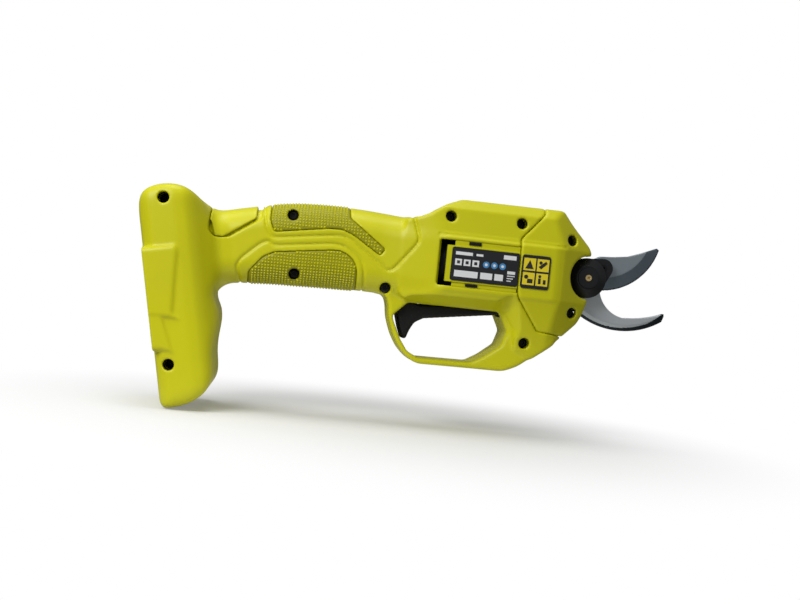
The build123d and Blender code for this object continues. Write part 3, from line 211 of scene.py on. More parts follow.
CAP_OUTLINE = [(26.2, 62.0), (26.2, 38.2), (29.0, 35.4), (33.6, 35.4), (49.8, 46.8), (49.8, 62.0)]
CAP_TRAVEL = 2.5
CAP_WINDOW = (43.4, 50.4, -3.1, 3.1, 44.0, 62.0)
PANEL_SLOT = (146.5, 190.0, 22.2, 46.4)
PANEL_SLOT_FLOOR = 22.0

# one side of the housing lies between these corners
HOUSING_ROOM = ((-14.0, -1.6, -59.5), (234.0, 41.0, 71.0))
# rooms cut inside the halves: limits in x, y and z
TRIGGER_HOOK_ROOM = (127.4, 150.0, -9.0, 8.4, 2.0, 20.4)
TRIGGER_LEVER_ROOM = (149.0, 191.2, -9.0, 8.4, 8.8, 16.6)
MOUTH_START = 226.0
MOUTH_BOTTOM = 13.6
MOUTH_TOP = 47.4
MOUTH_DEPTH_RIGHT = 4.6  # the mouth of the blades is deeper in the left cover
MOUTH_DEPTH_LEFT = 8.4
SOCKET_UP = 22.0  # the battery socket's middle above the middle of the foot
SOCKET_HALF_LENGTH = 16.75
SOCKET_HALF_WIDTH = 13.75
SOCKET_CORNER = 8.0
SOCKET_DEPTH = 48.2

HOUSING_SCREWS = [  # x, z, depth of the head's seat from the mid plane
    (3.0, 51.0, 16.0), (14.0, -32.6, 16.0), (68.6, 50.6, 9.0), (72.2, 19.9, 9.0), (121.0, 17.6, 10.0),
    (151.2, 58.8, 13.0), (189.4, 59.0, 13.0), (198.0, -4.2, 10.0),
]
NOSE_SCREWS = [(218.2, 53.2, 8.0), (222.4, 14.6, 8.0)]


# ---------------------------------------------------------------- distance fields
def smooth_max(a, b, k):
    """The larger of two fields, with the edge between them rounded over k."""
    h = np.maximum(k - np.abs(a - b), 0.0) / k
    return np.maximum(a, b) + 0.25 * k * h * h


def smooth_min(a, b, k):
    """The smaller of two fields, with the corner between them filled over k."""
    return -smooth_max(-a, -b, k)


def rounded(points, radius, steps=4):
    """An outline with each corner turned into a short curve."""
    out = []
    count = len(points)
    for i in range(count):
        here = np.array(points[i], float)
        before = np.array(points[i - 1], float)
        after = np.array(points[(i + 1) % count], float)
        to_before = before - here
        to_after = after - here
        reach_a = min(radius, 0.45 * np.linalg.norm(to_before)) / max(np.linalg.norm(to_before), 1e-9)
        reach_b = min(radius, 0.45 * np.linalg.norm(to_after)) / max(np.linalg.norm(to_after), 1e-9)
        first = here + to_before * reach_a
        last = here + to_after * reach_b
        for s in range(steps + 1):
            t = s / steps
            out.append((1 - t) ** 2 * first + 2 * t * (1 - t) * here + t * t * last)
    return np.array(out)


def outline_field(points, u, v):
    """Distance from a closed outline, negative inside it."""
    points = np.asarray(points, float)
    shape = np.broadcast(u, v).shape
    best = np.full(shape, 1e9)
    inside = np.zeros(shape, bool)
    for (au, av), (bu, bv) in zip(points, np.roll(points, -1, axis=0)):
        eu, ev = bu - au, bv - av
        length = eu * eu + ev * ev
        if length < 1e-12:
            continue
        t = np.clip(((u - au) * eu + (v - av) * ev) / length, 0, 1)
        best = np.minimum(best, (u - au - t * eu) ** 2 + (v - av - t * ev) ** 2)
        if av != bv:
            inside ^= ((av > v) != (bv > v)) & (u < (bu - au) * (v - av) / (bv - av) + au)
    return np.where(inside, -1.0, 1.0) * np.sqrt(best)


def rounded_box(du, dv, half_u, half_v, corner):
    """Distance from a rounded rectangle about the origin."""
    qu = np.abs(du) - half_u + corner
    qv = np.abs(dv) - half_v + corner
    outside = np.sqrt(np.maximum(qu, 0) ** 2 + np.maximum(qv, 0) ** 2)
    return outside + np.minimum(np.maximum(qu, qv), 0) - corner


def along(points, value):
    """Reads a list of (place, size) pairs in straight steps."""
    table = np.array(points, float)
    return np.interp(value, table[:, 0], table[:, 1])


def smooth_along(points, value, blur):
    """The same, eased over the corners of the list."""
    return sum(along(points, value + shift * blur) for shift in (-1.0, -0.5, 0.0, 0.5, 1.0)) / 5


class Room:
    """A regular grid of points, in mm."""

    def __init__(self, low, high, step):
        self.step = step
        self.low = np.array(low, float)
        self.counts = [int(math.ceil((h - l) / step)) + 1 for l, h in zip(low, high)]
        axes = [l + step * np.arange(n) for l, n in zip(low, self.counts)]
        self.x = axes[0][:, None, None]
        self.y = axes[1][None, :, None]
        self.z = axes[2][None, None, :]

    def box(self, x0, x1, y0, y1, z0, z1):
        """Distance field of a plain block."""
        fx = np.maximum(x0 - self.x, self.x - x1)
        fy = np.maximum(y0 - self.y, self.y - y1)
        fz = np.maximum(z0 - self.z, self.z - z1)
        return np.maximum(np.maximum(fx, fy), fz)

    def pin(self, x, z, y0, y1, r):
        """Distance field of a round pin across the tool."""
        round_part = np.sqrt((self.x - x) ** 2 + (self.z - z) ** 2) - r
        return np.maximum(round_part, np.maximum(y0 - self.y, self.y - y1))

    def side(self, points, radius=0.0):
        """Distance field of a side outline that runs the whole width."""
        shape = rounded(points, radius) if radius > 0 else points
        return outline_field(shape, self.x, self.z)


def net(field, room):
    """A closed mesh on the surface where the field is zero."""
    inside = field < 0
    cells_x, cells_y, cells_z = [n - 1 for n in field.shape]
    count = np.zeros((cells_x, cells_y, cells_z), np.int8)
    for dx in (0, 1):
        for dy in (0, 1):
            for dz in (0, 1):
                count += inside[dx:cells_x + dx, dy:cells_y + dy, dz:cells_z + dz]
    active = (count > 0) & (count < 8)
    index = np.full(active.shape, -1, np.int64)
    index[active] = np.arange(int(active.sum()))
    cells = np.argwhere(active)
    total = np.zeros((len(cells), 3))
    hits = np.zeros(len(cells))
    units = np.eye(3, dtype=int)
    for axis in range(3):
        others = [a for a in range(3) if a != axis]
        for p in (0, 1):
            for q in (0, 1):
                start = cells + p * units[others[0]] + q * units[others[1]]
                end = start + units[axis]
                fa = field[tuple(start.T)]
                fb = field[tuple(end.T)]
                cross = (fa < 0) != (fb < 0)
                t = fa[cross] / (fa[cross] - fb[cross])
                total[cross] += start[cross] + t[:, None] * units[axis]
                hits[cross] += 1
    corners = total / hits[:, None]
    quads = []
    for axis in range(3):
        u, v = [(1, 2), (2, 0), (0, 1)][axis]
        low = [slice(1, -1)] * 3
        low[axis] = slice(0, -1)
        high = [slice(1, -1)] * 3
        high[axis] = slice(1, None)
        first = inside[tuple(low)]
        second = inside[tuple(high)]
        for leaving in (True, False):
            found = np.argwhere(first & ~second if leaving else ~first & second)
            found[:, u] += 1
            found[:, v] += 1
            ring = [found - units[u] - units[v], found - units[v], found, found - units[u]]
            if not leaving:
                ring.reverse()
            quads.append(np.stack([index[tuple(r.T)] for r in ring], axis=1))
    return corners * room.step + room.low, np.concatenate(quads)


def sample(values, places):
    """Reads a grid of values between its points."""
    limit = np.array(values.shape) - 1.001
    p = np.clip(places, 0, limit)
    base = p.astype(int)
    f = p - base
    out = 0
    for dx in (0, 1):
        for dy in (0, 1):
            for dz in (0, 1):
                weight = (f[:, 0] if dx else 1 - f[:, 0])
                weight = weight * (f[:, 1] if dy else 1 - f[:, 1])
                weight = weight * (f[:, 2] if dz else 1 - f[:, 2])
                out = out + weight * values[base[:, 0] + dx, base[:, 1] + dy, base[:, 2] + dz]
    return out


def surface_of(field, room, settle=2):
    """The mesh of a field, with its corners moved onto the true surface."""
    points, quads = net(field, room)
    slopes = np.gradient(field, room.step)
    for _ in range(settle):
        places = (points - room.low) / room.step
        value = sample(field, places)
        slope = np.stack([sample(s, places) for s in slopes], axis=1)
        steepness = np.maximum((slope ** 2).sum(axis=1), 0.2)
        move = -(value / steepness)[:, None] * slope
        limit = 0.35 * room.step
        points = points + np.clip(move, -limit, limit)
    return points, quads


def new_object(name, data):
    """An object in the scene that carries the given mesh, light or camera."""
    made = bpy.data.objects.new(name, data)
    bpy.context.scene.collection.objects.link(made)
    return made


def plain_mesh(name, points, faces):
    """A mesh from corner points in mm and faces of any number of corners."""
    mesh = bpy.data.meshes.new(name)
    mesh.from_pydata([tuple(np.array(p) * MM) for p in points], [], faces)
    return mesh


def mesh_object(name, points, faces, material):
    """A smooth object from corner points in mm and faces of four corners."""
    mesh = bpy.data.meshes.new(name)
    faces = np.asarray(faces, np.int32)
    mesh.vertices.add(len(points))
    mesh.vertices.foreach_set("co", (np.asarray(points) * MM).astype(np.float32).ravel())
    mesh.loops.add(faces.size)
    mesh.loops.foreach_set("vertex_index", faces.ravel())
    mesh.polygons.add(len(faces))
    mesh.polygons.foreach_set("loop_start", np.arange(0, faces.size, faces.shape[1], dtype=np.int32))
    mesh.polygons.foreach_set("use_smooth", np.ones(len(faces), bool))
    mesh.update(calc_edges=True)
    mesh.validate()
    mesh.materials.append(material)
    return new_object(name, mesh)


def face_middles(made):
    """The middle of every face of an object, in mm."""
    middles = np.zeros(3 * len(made.data.polygons), np.float32)
    made.data.polygons.foreach_get("center", middles)
    return middles.reshape(-1, 3) / MM


def paint_faces(made, *finishes):
    """Gives the chosen faces of an object another material."""
    index = np.zeros(len(made.data.polygons), np.int32)
    for number, (material, chosen) in enumerate(finishes, 1):
        made.data.materials.append(material)
        index[chosen] = number
    made.data.polygons.foreach_set("material_index", index)


def mirrored(points, faces):
    """The same form on the other side of the mid plane."""
    return points * np.array([1.0, -1.0, 1.0]), faces[:, ::-1]


# ---------------------------------------------------------------- materials
def node_group(name, inputs, outputs):
    """An empty shader group with named inputs (name, kind, default) and outputs (name, kind)."""
    group = bpy.data.node_groups.new(name, "ShaderNodeTree")
    for label, kind, value in inputs:
        socket = group.interface.new_socket(label, in_out="INPUT", socket_type=kind)
        if value is not None:
            socket.default_value = value
    for label, kind in outputs:
        group.interface.new_socket(label, in_out="OUTPUT", socket_type=kind)
    entry = group.nodes.new("NodeGroupInput")
    leave = group.nodes.new("NodeGroupOutput")
    return group, entry, leave


def moulded_grain_group():
    """Fine spark-eroded grain of moulded plastic, as a bumped normal, and a slow sheen change."""
    group, entry, leave = node_group(
        "moulded grain",
        [("Grain size", "NodeSocketFloat", 2600.0), ("Depth", "NodeSocketFloat", 0.12)],
        [("Normal", "NodeSocketVector"), ("Sheen", "NodeSocketFloat")],
    )
    link = group.links.new
    place = group.nodes.new("ShaderNodeTexCoord")
    noise = group.nodes.new("ShaderNodeTexNoise")
    noise.inputs["Detail"].default_value = 2.0
    link(place.outputs["Object"], noise.inputs["Vector"])
    link(entry.outputs["Grain size"], noise.inputs["Scale"])
    bump = group.nodes.new("ShaderNodeBump")
    bump.inputs["Distance"].default_value = 0.0001
    link(entry.outputs["Depth"], bump.inputs["Strength"])
    link(noise.outputs["Fac"], bump.inputs["Height"])
    slow = group.nodes.new("ShaderNodeTexNoise")
    slow.inputs["Scale"].default_value = 38.0
    slow.inputs["Detail"].default_value = 4.0
    link(place.outputs["Object"], slow.inputs["Vector"])
    spread = group.nodes.new("ShaderNodeMapRange")
    spread.inputs["From Min"].default_value = 0.3
    spread.inputs["From Max"].default_value = 0.7
    link(slow.outputs["Fac"], spread.inputs["Value"])
    link(bump.outputs["Normal"], leave.inputs["Normal"])
    link(spread.outputs["Result"], leave.inputs["Sheen"])
    return group


def brushed_group():
    """Long fine grinding lines on steel: a bumped normal and a mask of lighter lines."""
    group, entry, leave = node_group(
        "grinding lines",
        [("Stretch", "NodeSocketVector", None), ("Depth", "NodeSocketFloat", 0.15)],
        [("Normal", "NodeSocketVector"), ("Lines", "NodeSocketFloat")],
    )
    link = group.links.new
    place = group.nodes.new("ShaderNodeTexCoord")
    scale = group.nodes.new("ShaderNodeVectorMath")
    scale.operation = "MULTIPLY"
    link(place.outputs["Object"], scale.inputs[0])
    link(entry.outputs["Stretch"], scale.inputs[1])
    noise = group.nodes.new("ShaderNodeTexNoise")
    noise.inputs["Scale"].default_value = 1.0
    noise.inputs["Detail"].default_value = 3.0
    link(scale.outputs["Vector"], noise.inputs["Vector"])
    bump = group.nodes.new("ShaderNodeBump")
    bump.inputs["Distance"].default_value = 0.0001
    link(entry.outputs["Depth"], bump.inputs["Strength"])
    link(noise.outputs["Fac"], bump.inputs["Height"])
    link(bump.outputs["Normal"], leave.inputs["Normal"])
    link(noise.outputs["Fac"], leave.inputs["Lines"])
    return group


GRAIN = moulded_grain_group()
LINES = brushed_group()


def new_material(name):
    """A material with its nodes, its link function and its Principled shader."""
    material = bpy.data.materials.new(name)
    material.use_nodes = True
    nodes = material.node_tree.nodes
    return material, nodes, material.node_tree.links.new, nodes["Principled BSDF"]


def plastic(name, colour, shade, rough_low, rough_high, grain=2600.0, depth=0.12):
    """Moulded plastic: grain, slightly uneven sheen and a small change of colour."""
    material, nodes, link, bsdf = new_material(name)
    group = nodes.new("ShaderNodeGroup")
    group.node_tree = GRAIN
    group.inputs["Grain size"].default_value = grain
    group.inputs["Depth"].default_value = depth
    mix = nodes.new("ShaderNodeMix")
    mix.data_type = "RGBA"
    mix.inputs["A"].default_value = (*colour, 1)
    mix.inputs["B"].default_value = (*shade, 1)
    link(group.outputs["Sheen"], mix.inputs["Factor"])
    rough = nodes.new("ShaderNodeMapRange")
    rough.inputs["To Min"].default_value = rough_low
    rough.inputs["To Max"].default_value = rough_high
    link(group.outputs["Sheen"], rough.inputs["Value"])
    link(mix.outputs["Result"], bsdf.inputs["Base Color"])
    link(rough.outputs["Result"], bsdf.inputs["Roughness"])
    link(group.outputs["Normal"], bsdf.inputs["Normal"])
    bsdf.inputs["Specular IOR Level"].default_value = 0.32
    return material


def steel(name, dark, light, rough, stretch, depth=0.15, metallic=1.0):
    """Ground or machined metal with fine lines along one direction."""
    material, nodes, link, bsdf = new_material(name)
    group = nodes.new("ShaderNodeGroup")
    group.node_tree = LINES
    group.inputs["Stretch"].default_value = stretch
    group.inputs["Depth"].default_value = depth
    mix = nodes.new("ShaderNodeMix")
    mix.data_type = "RGBA"
    mix.inputs["A"].default_value = (*dark, 1)
    mix.inputs["B"].default_value = (*light, 1)
    link(group.outputs["Lines"], mix.inputs["Factor"])
    link(mix.outputs["Result"], bsdf.inputs["Base Color"])
    bsdf.inputs["Metallic"].default_value = metallic
    bsdf.inputs["Roughness"].default_value = rough
    link(group.outputs["Normal"], bsdf.inputs["Normal"])
    return material


def flat_print(name, colour):
    """Smooth printed film."""
    material, _, _, bsdf = new_material(name)
    bsdf.inputs["Base Color"].default_value = (*colour, 1)
    bsdf.inputs["Roughness"].default_value = 0.45
    return material


# how fast the noise of the grinding lines changes along X, Y and Z: lines run where it changes slowly
ALONG_X = (180.0, 2500.0, 9000.0)
ROUND_X = (9000.0, 700.0, 700.0)
UP_BLADE = (9000.0, 900.0, 260.0)
ALONG_BLADE = (260.0, 900.0, 9000.0)
WOUND = (300.0, 9000.0, 300.0)
CAST = (700.0, 700.0, 700.0)

housing_green = plastic("housing green", (0.62, 0.605, 0.005), (0.585, 0.57, 0.005), 0.36, 0.44)
# the grip pads are about the housing's green, which the pyramids keep; the pad floor between them is painted
# at about half that colour, as painted shade in the valleys of the texture
pad_green_painted_shade = plastic("grip pad green painted shade", (0.32, 0.31, 0.005), (0.29, 0.28, 0.005), 0.46, 0.54)
pad_points = plastic("grip pad points", (0.60, 0.585, 0.008), (0.56, 0.545, 0.008), 0.44, 0.52)
black_plastic = plastic("black plastic", (0.004, 0.004, 0.004), (0.007, 0.007, 0.007), 0.44, 0.54)
label_film = plastic("label film", (0.018, 0.019, 0.021), (0.022, 0.023, 0.025), 0.38, 0.44, 1200.0, 0.03)
print_white = flat_print("label white", (0.78, 0.79, 0.80))
print_yellow = flat_print("label yellow", (0.82, 0.66, 0.02))
print_blue = flat_print("label blue", (0.05, 0.25, 0.55))
print_dark = flat_print("label dark", (0.02, 0.02, 0.022))
blade_steel = steel("cutting blade steel", (0.30, 0.36, 0.40), (0.40, 0.46, 0.50), 0.34,
                    UP_BLADE, metallic=0.6)
# the ground face of the cutting blade is painted about half as bright as the rest of the blade: painted shade
# on the sloping grind
blade_ground_painted_shade = steel("cutting blade ground face painted shade", (0.16, 0.21, 0.25), (0.23, 0.29, 0.33), 0.38,
                     ALONG_BLADE, metallic=0.6)
hook_steel = steel("hook blade steel", (0.60, 0.65, 0.68), (0.72, 0.77, 0.80), 0.36, UP_BLADE, metallic=0.6)
# near black: painted shade on the narrow edge bevels of both blades
edge_bevel_painted_shade = steel("blade edge bevel painted shade", (0.035, 0.045, 0.05), (0.06, 0.07, 0.08), 0.40, UP_BLADE)
gear_black = steel("blackened steel", (0.020, 0.021, 0.023), (0.032, 0.033, 0.036), 0.42, ROUND_X, 0.1, 0.6)
gear_steel = steel("gear steel", (0.36, 0.36, 0.37), (0.50, 0.50, 0.51), 0.32, ROUND_X)
plain_steel = steel("plain steel", (0.42, 0.43, 0.44), (0.56, 0.57, 0.58), 0.28, ALONG_X)
can_black = steel("blackened can", (0.010, 0.010, 0.011), (0.018, 0.018, 0.019), 0.6, ALONG_X, 0.1, 0.3)
screw_black = steel("screw black", (0.012, 0.012, 0.013), (0.03, 0.03, 0.032), 0.38, ROUND_X, 0.1, 0.7)
brass = steel("brass", (0.72, 0.54, 0.22), (0.88, 0.70, 0.34), 0.32, ROUND_X, metallic=0.7)
copper = steel("enamelled copper", (0.42, 0.13, 0.05), (0.62, 0.24, 0.10), 0.35, WOUND)
magnet_grey = steel("magnet grey", (0.05, 0.05, 0.055), (0.08, 0.08, 0.085), 0.5, ALONG_X, 0.1, 0.4)
carbon = plastic("carbon", (0.02, 0.02, 0.02), (0.03, 0.03, 0.03), 0.55, 0.65)
cast_aluminium = steel("cast aluminium", (0.42, 0.43, 0.44), (0.52, 0.53, 0.54), 0.45, CAST)
board_green = plastic("board green", (0.01, 0.10, 0.04), (0.012, 0.12, 0.05), 0.35, 0.45)
board_parts_black = plastic("board part black", (0.015, 0.015, 0.016), (0.02, 0.02, 0.021), 0.4, 0.5)
wire_red = plastic("wire sleeve", (0.35, 0.02, 0.015), (0.40, 0.03, 0.02), 0.4, 0.5)
contact_metal = steel("contact metal", (0.62, 0.50, 0.28), (0.74, 0.62, 0.38), 0.3, ALONG_X)

SLOT_MATERIAL = {
    "housing": housing_green, "grip_pad": pad_green_painted_shade, "label": label_film, "screw_black": screw_black,
    "black_plastic": black_plastic, "contact": contact_metal, "steel": plain_steel, "magnet": magnet_grey,
    "copper": copper, "carbon": carbon, "gear_steel": gear_steel, "gear_black": gear_black,
    "blade_steel": blade_steel, "hook_steel": hook_steel, "cast_aluminium": cast_aluminium, "brass": brass,
    "board": board_green, "board_part": board_parts_black, "wire": wire_red,
}


def place_piece(made, body, slot_name, *replaced):
    """Lets a finished piece ride on its body and stand for its CAD nodes."""
    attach(made, body)
    if replaced:
        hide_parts(*replaced)


# ---------------------------------------------------------------- housing forms
def foot_axes(room):
    """Distance down the battery face and distance into the tool, at every point."""
    down = SIN_TILT * room.x - COS_TILT * room.z
    into = COS_TILT * room.x + SIN_TILT * room.z
    return down, into


def foot_form(room, inset):
    """The rounded battery foot."""
    y = room.y
    down, into = foot_axes(room)
    profile = outline_field(rounded(FOOT_OUTLINE, FOOT_OUTLINE_ROUND), down, into) + inset
    face = rounded_box(down, y, FOOT_LENGTH / 2 - inset, FOOT_HALF - inset, FOOT_CORNER)
    plan = (np.abs(y) - smooth_along(FOOT_PLAN, into, 1.5) + inset) * FOOT_PLAN_SCALE
    form = smooth_max(smooth_max(profile, face, FOOT_FACE_ROUND), plan, FOOT_SIDE_ROUND)
    if inset == 0:
        for points, half in ((FOOT_STEP, FOOT_STEP_HALF), (FOOT_BLOCK, FOOT_HALF)):
            draft = np.maximum(np.abs(y) - half + BLOCK_DRAFT_FROM, 0.0) * BLOCK_DRAFT
            raised = (outline_field(rounded(points, 1.2), down, into) + draft) * BLOCK_SCALE
            raised = smooth_max(raised, np.abs(y) - half, 0.6)
            form = smooth_min(form, smooth_max(raised, face, 4.0), 0.7)
    return np.maximum(form, -into + inset)


def grip_form(room, inset):
    """The grip, drawn through its stations."""
    x, y, z = room.x, room.y, room.z
    stations = np.array(GRIP_STATIONS)
    low = smooth_along(stations[:, [0, 1]], x, STATION_BLUR)
    high = smooth_along(stations[:, [0, 2]], x, STATION_BLUR)
    half = smooth_along(stations[:, [0, 3]], x, STATION_BLUR)
    form = rounded_box(z - (low + high) / 2, y, (high - low) / 2 - inset, half - inset, GRIP_CORNER)
    return np.maximum(form, np.maximum(GRIP_START - x, x - GRIP_END) + inset)


def body_form(room, inset):
    """The body: side outline, section across and plan."""
    x, y, z = room.x, room.y, room.z
    outline = room.side(BODY_OUTLINE, 2.0)
    across = (np.abs(y) - along(BODY_SECTION, z)) * SECTION_SCALE
    # the front facets lean back above and below the flat side
    lean = NOSE_LEAN * (np.maximum(z - PLATEAU_TOP, 0.0) + np.maximum(PLATEAU_BOTTOM - z, 0.0))
    plan = (np.abs(y) - along(BODY_PLAN, x + lean * (x > NOSE_LEAN_FROM))) * PLAN_SCALE
    edge = 1.1 if inset == 0 else 0.5
    form = smooth_max(across, plan, edge)
    return smooth_max(form, outline, edge * 1.6) + inset


def guard_form(room):
    """The narrow hoop round the finger opening."""
    x = room.x
    outline = room.side(GUARD_OUTLINE, 3.0)
    half = np.where(x < GUARD_FLARE_FROM, GUARD_HALF, GUARD_HALF + (x - GUARD_FLARE_FROM) * GUARD_FLARE)
    return smooth_max(outline, np.abs(room.y) - half, 2.6)


def groove(form, line, width, depth):
    """Presses a narrow line into the surface of a form."""
    dip = np.clip(1.0 - np.abs(line) / width, 0, 1)
    return form + depth * dip * dip * (3 - 2 * dip)


def skin_form(room):
    """The whole outside with the finger opening cut, and the distance from the scoop round it."""
    outer = smooth_min(foot_form(room, 0), grip_form(room, 0), FOOT_FILLET)
    outer = smooth_min(outer, body_form(room, 0), BODY_FILLET)
    outer = smooth_min(outer, guard_form(room), BODY_FILLET)
    opening = room.side(FINGER_OUTLINE, OPENING_ROUND)
    outer = smooth_max(outer, -opening, OPENING_EDGE)
    front = np.clip((room.x - SCOOP_FRONT_FROM) / SCOOP_FRONT_LENGTH, 0, 1)
    spread = SCOOP_SPREAD + SCOOP_SPREAD_FRONT * front
    scoop = (opening - np.maximum(np.abs(room.y) - GUARD_HALF, 0.0) * spread) * SCOOP_SCALE
    return smooth_max(outer, -scoop, SCOOP_EDGE), scoop


def hollow_form(room, scoop):
    """The room inside the walls, kept a wall's thickness off the scoop."""
    hollow = smooth_min(foot_form(room, WALL), grip_form(room, WALL), HOLLOW_FILLET)
    hollow = np.minimum(hollow, body_form(room, WALL))
    return np.maximum(hollow, WALL - scoop)


def press_lines(room, skin):
    """The skin with the line round the raised frame of the pads and the line above the flat side."""
    x, z = room.x, room.z
    frame_line = np.minimum(room.side(SADDLE_UPPER, SADDLE_ROUND), room.side(SADDLE_LOWER, SADDLE_ROUND))
    ledge = np.maximum(np.abs(z - LEDGE_Z), np.maximum(LEDGE_START - x, x - LEDGE_END))
    return groove(groove(skin, frame_line, *FRAME_GROOVE), ledge, *LEDGE_GROOVE)


def pad_forms(room, outer):
    """The upper and the lower grip pad, and the recess they lie in."""
    upper = room.side(PAD_UPPER, PAD_ROUND)
    lower = room.side(PAD_LOWER, PAD_ROUND)
    under = np.maximum(-(outer + PAD_THICK), room.x - PAD_FRONT)
    pads = [smooth_max(smooth_max(outer, pad + SEAM_GAP, PAD_EDGE), under, 0.2) for pad in (upper, lower)]
    recess = np.maximum(np.minimum(upper, lower), -(outer + PAD_THICK + 0.15))
    return pads, recess


def cap_forms(room, skin):
    """The switch cap and the pocket that it slides in."""
    cap = room.side(CAP_OUTLINE, CAP_ROUND)
    cap_piece = smooth_max(smooth_max(skin, cap, CAP_EDGE), -(skin + CAP_THICK), 0.3)
    moved = [(px + CAP_TRAVEL * COS_TILT, pz + CAP_TRAVEL * SIN_TILT) for px, pz in CAP_OUTLINE]
    pocket = np.minimum(cap, room.side(moved, CAP_ROUND)) - CAP_CLEARANCE
    return cap_piece, np.maximum(pocket, -(skin + CAP_THICK + 0.25))


def vent_slot(room):
    """The slot behind the side panel."""
    x0, x1, z0, z1 = PANEL_SLOT
    slot = room.side([(x0, z0), (x1, z0), (x1, z1), (x0, z1)], SLOT_ROUND)
    return np.maximum(slot, PANEL_SLOT_FLOOR - room.y)


def inner_rooms(room, right):
    """The rooms cut into a half, each with the rounding of its edge."""
    down, into = foot_axes(room)
    socket = rounded_box(down + SOCKET_UP, room.y, SOCKET_HALF_LENGTH, SOCKET_HALF_WIDTH, SOCKET_CORNER)
    socket = np.maximum(socket, into - SOCKET_DEPTH)
    trigger_room = np.minimum(room.box(*TRIGGER_HOOK_ROOM), room.box(*TRIGGER_LEVER_ROOM))
    # round cut about the hub of the blades, and their mouth
    hub_cut = np.sqrt((room.x - PIVOT_X) ** 2 + (room.z - AXIS_Z) ** 2) - NOSE_CUT_R
    mouth_depth = MOUTH_DEPTH_RIGHT if right else MOUTH_DEPTH_LEFT
    mouth = room.box(MOUTH_START, NOSE_END + 5, -1.0, mouth_depth, MOUTH_BOTTOM, MOUTH_TOP)
    return ((room.box(*CAP_WINDOW), 0.3), (socket, 0.5), (trigger_room, 0.4), (hub_cut, 1.0), (mouth, 0.6))


def housing_fields(room, right):
    """Fields of the housing half, the nose cover and both pads of one side."""
    skin, scoop = skin_form(room)
    outer = press_lines(room, skin)
    pads, recess = pad_forms(room, outer)
    _, pocket = cap_forms(room, skin)
    shell = smooth_max(outer, -hollow_form(room, scoop), 0.6)
    for screws, boss_r in ((HOUSING_SCREWS, SCREW_BOSS_R), (NOSE_SCREWS, NOSE_BOSS_R)):
        for sx, sz, seat in screws:
            boss = room.pin(sx, sz, -1.0, seat + 2.0, boss_r)
            shell = smooth_min(shell, np.maximum(boss, outer), 0.8)
    shell = np.maximum(shell, -recess)
    for cut, edge in ((pocket, POCKET_EDGE), *inner_rooms(room, right)):
        shell = smooth_max(shell, -cut, edge)
    if right:
        for sx, sz, seat in HOUSING_SCREWS + NOSE_SCREWS:
            hole = room.pin(sx, sz, seat, 60.0, SCREW_POCKET_R)
            shell = smooth_max(shell, -hole, POCKET_EDGE)
            pads = [smooth_max(pad, -hole, POCKET_EDGE) for pad in pads]
            shell = np.maximum(shell, -room.pin(sx, sz, -1.0, seat, SCREW_SHANK_R + 0.1))
    # the seam is open at the surface and closed by a lip below it
    nose = room.side(NOSE_SEAM, 1.0)
    gap = np.where(outer > -LIP_DEPTH, SEAM_GAP, -0.1)
    main = smooth_max(np.maximum(shell, -vent_slot(room)), -(nose - gap), SEAM_EDGE)
    cover = smooth_max(shell, nose + gap, SEAM_EDGE)
    fields = {"housing": main, "nose_cover": cover, "grip_pad_upper": pads[0], "grip_pad_lower": pads[1]}
    return {name: smooth_max(field, HALF_GAP - room.y, HALF_EDGE) for name, field in fields.items()}


def build_housing():
    """Both housing halves, nose covers and grip pads."""
    room = Room(*HOUSING_ROOM, HOUSING_STEP)
    # the grip pads get the darker pad green: painted shade between the pyramids
    finish = {"housing": ("housing", housing_green), "nose_cover": ("housing", housing_green),
              "grip_pad_upper": ("grip_pad", pad_green_painted_shade), "grip_pad_lower": ("grip_pad", pad_green_painted_shade)}
    for right, word in ((True, "right"), (False, "left")):
        for name, field in housing_fields(room, right).items():
            points, quads = surface_of(field, room)
            if right:
                points, quads = mirrored(points, quads)
            slot_name, material = finish[name]
            made = mesh_object(f"{name}_{word}_form", points, quads, material)
            stands_for = [f"{name}_{word}"]
            if name == "housing":
                stands_for += [f"housing_foot_{word}", f"housing_guard_{word}"]
            place_piece(made, "housing", slot_name, *stands_for)


def build_cap():
    """The switch cap, which crosses the mid plane and so is meshed over its whole width."""
    room = Room((22.0, -20.0, 30.0), (54.0, 20.0, 58.0), CAP_STEP)
    skin, _ = skin_form(room)
    cap_piece, _ = cap_forms(room, skin)
    points, quads = surface_of(cap_piece, room)
    made = mesh_object("power_switch_cap_form", points, quads, housing_green)
    place_piece(made, "power_switch_cap", "housing", "power_switch_cap")


build_housing()
build_cap()


# ---------------------------------------------------------------- blades and trigger
def on_circle(centre, r, angle):
    """The point of a circle at an angle in degrees."""
    return (centre[0] + r * math.cos(math.radians(angle)), centre[1] + r * math.sin(math.radians(angle)))


def arc(centre, r, start, end, steps):
    """Points on a circle from one angle to another, in degrees."""
    return [on_circle(centre, r, start + (end - start) * i / steps) for i in range(steps + 1)]


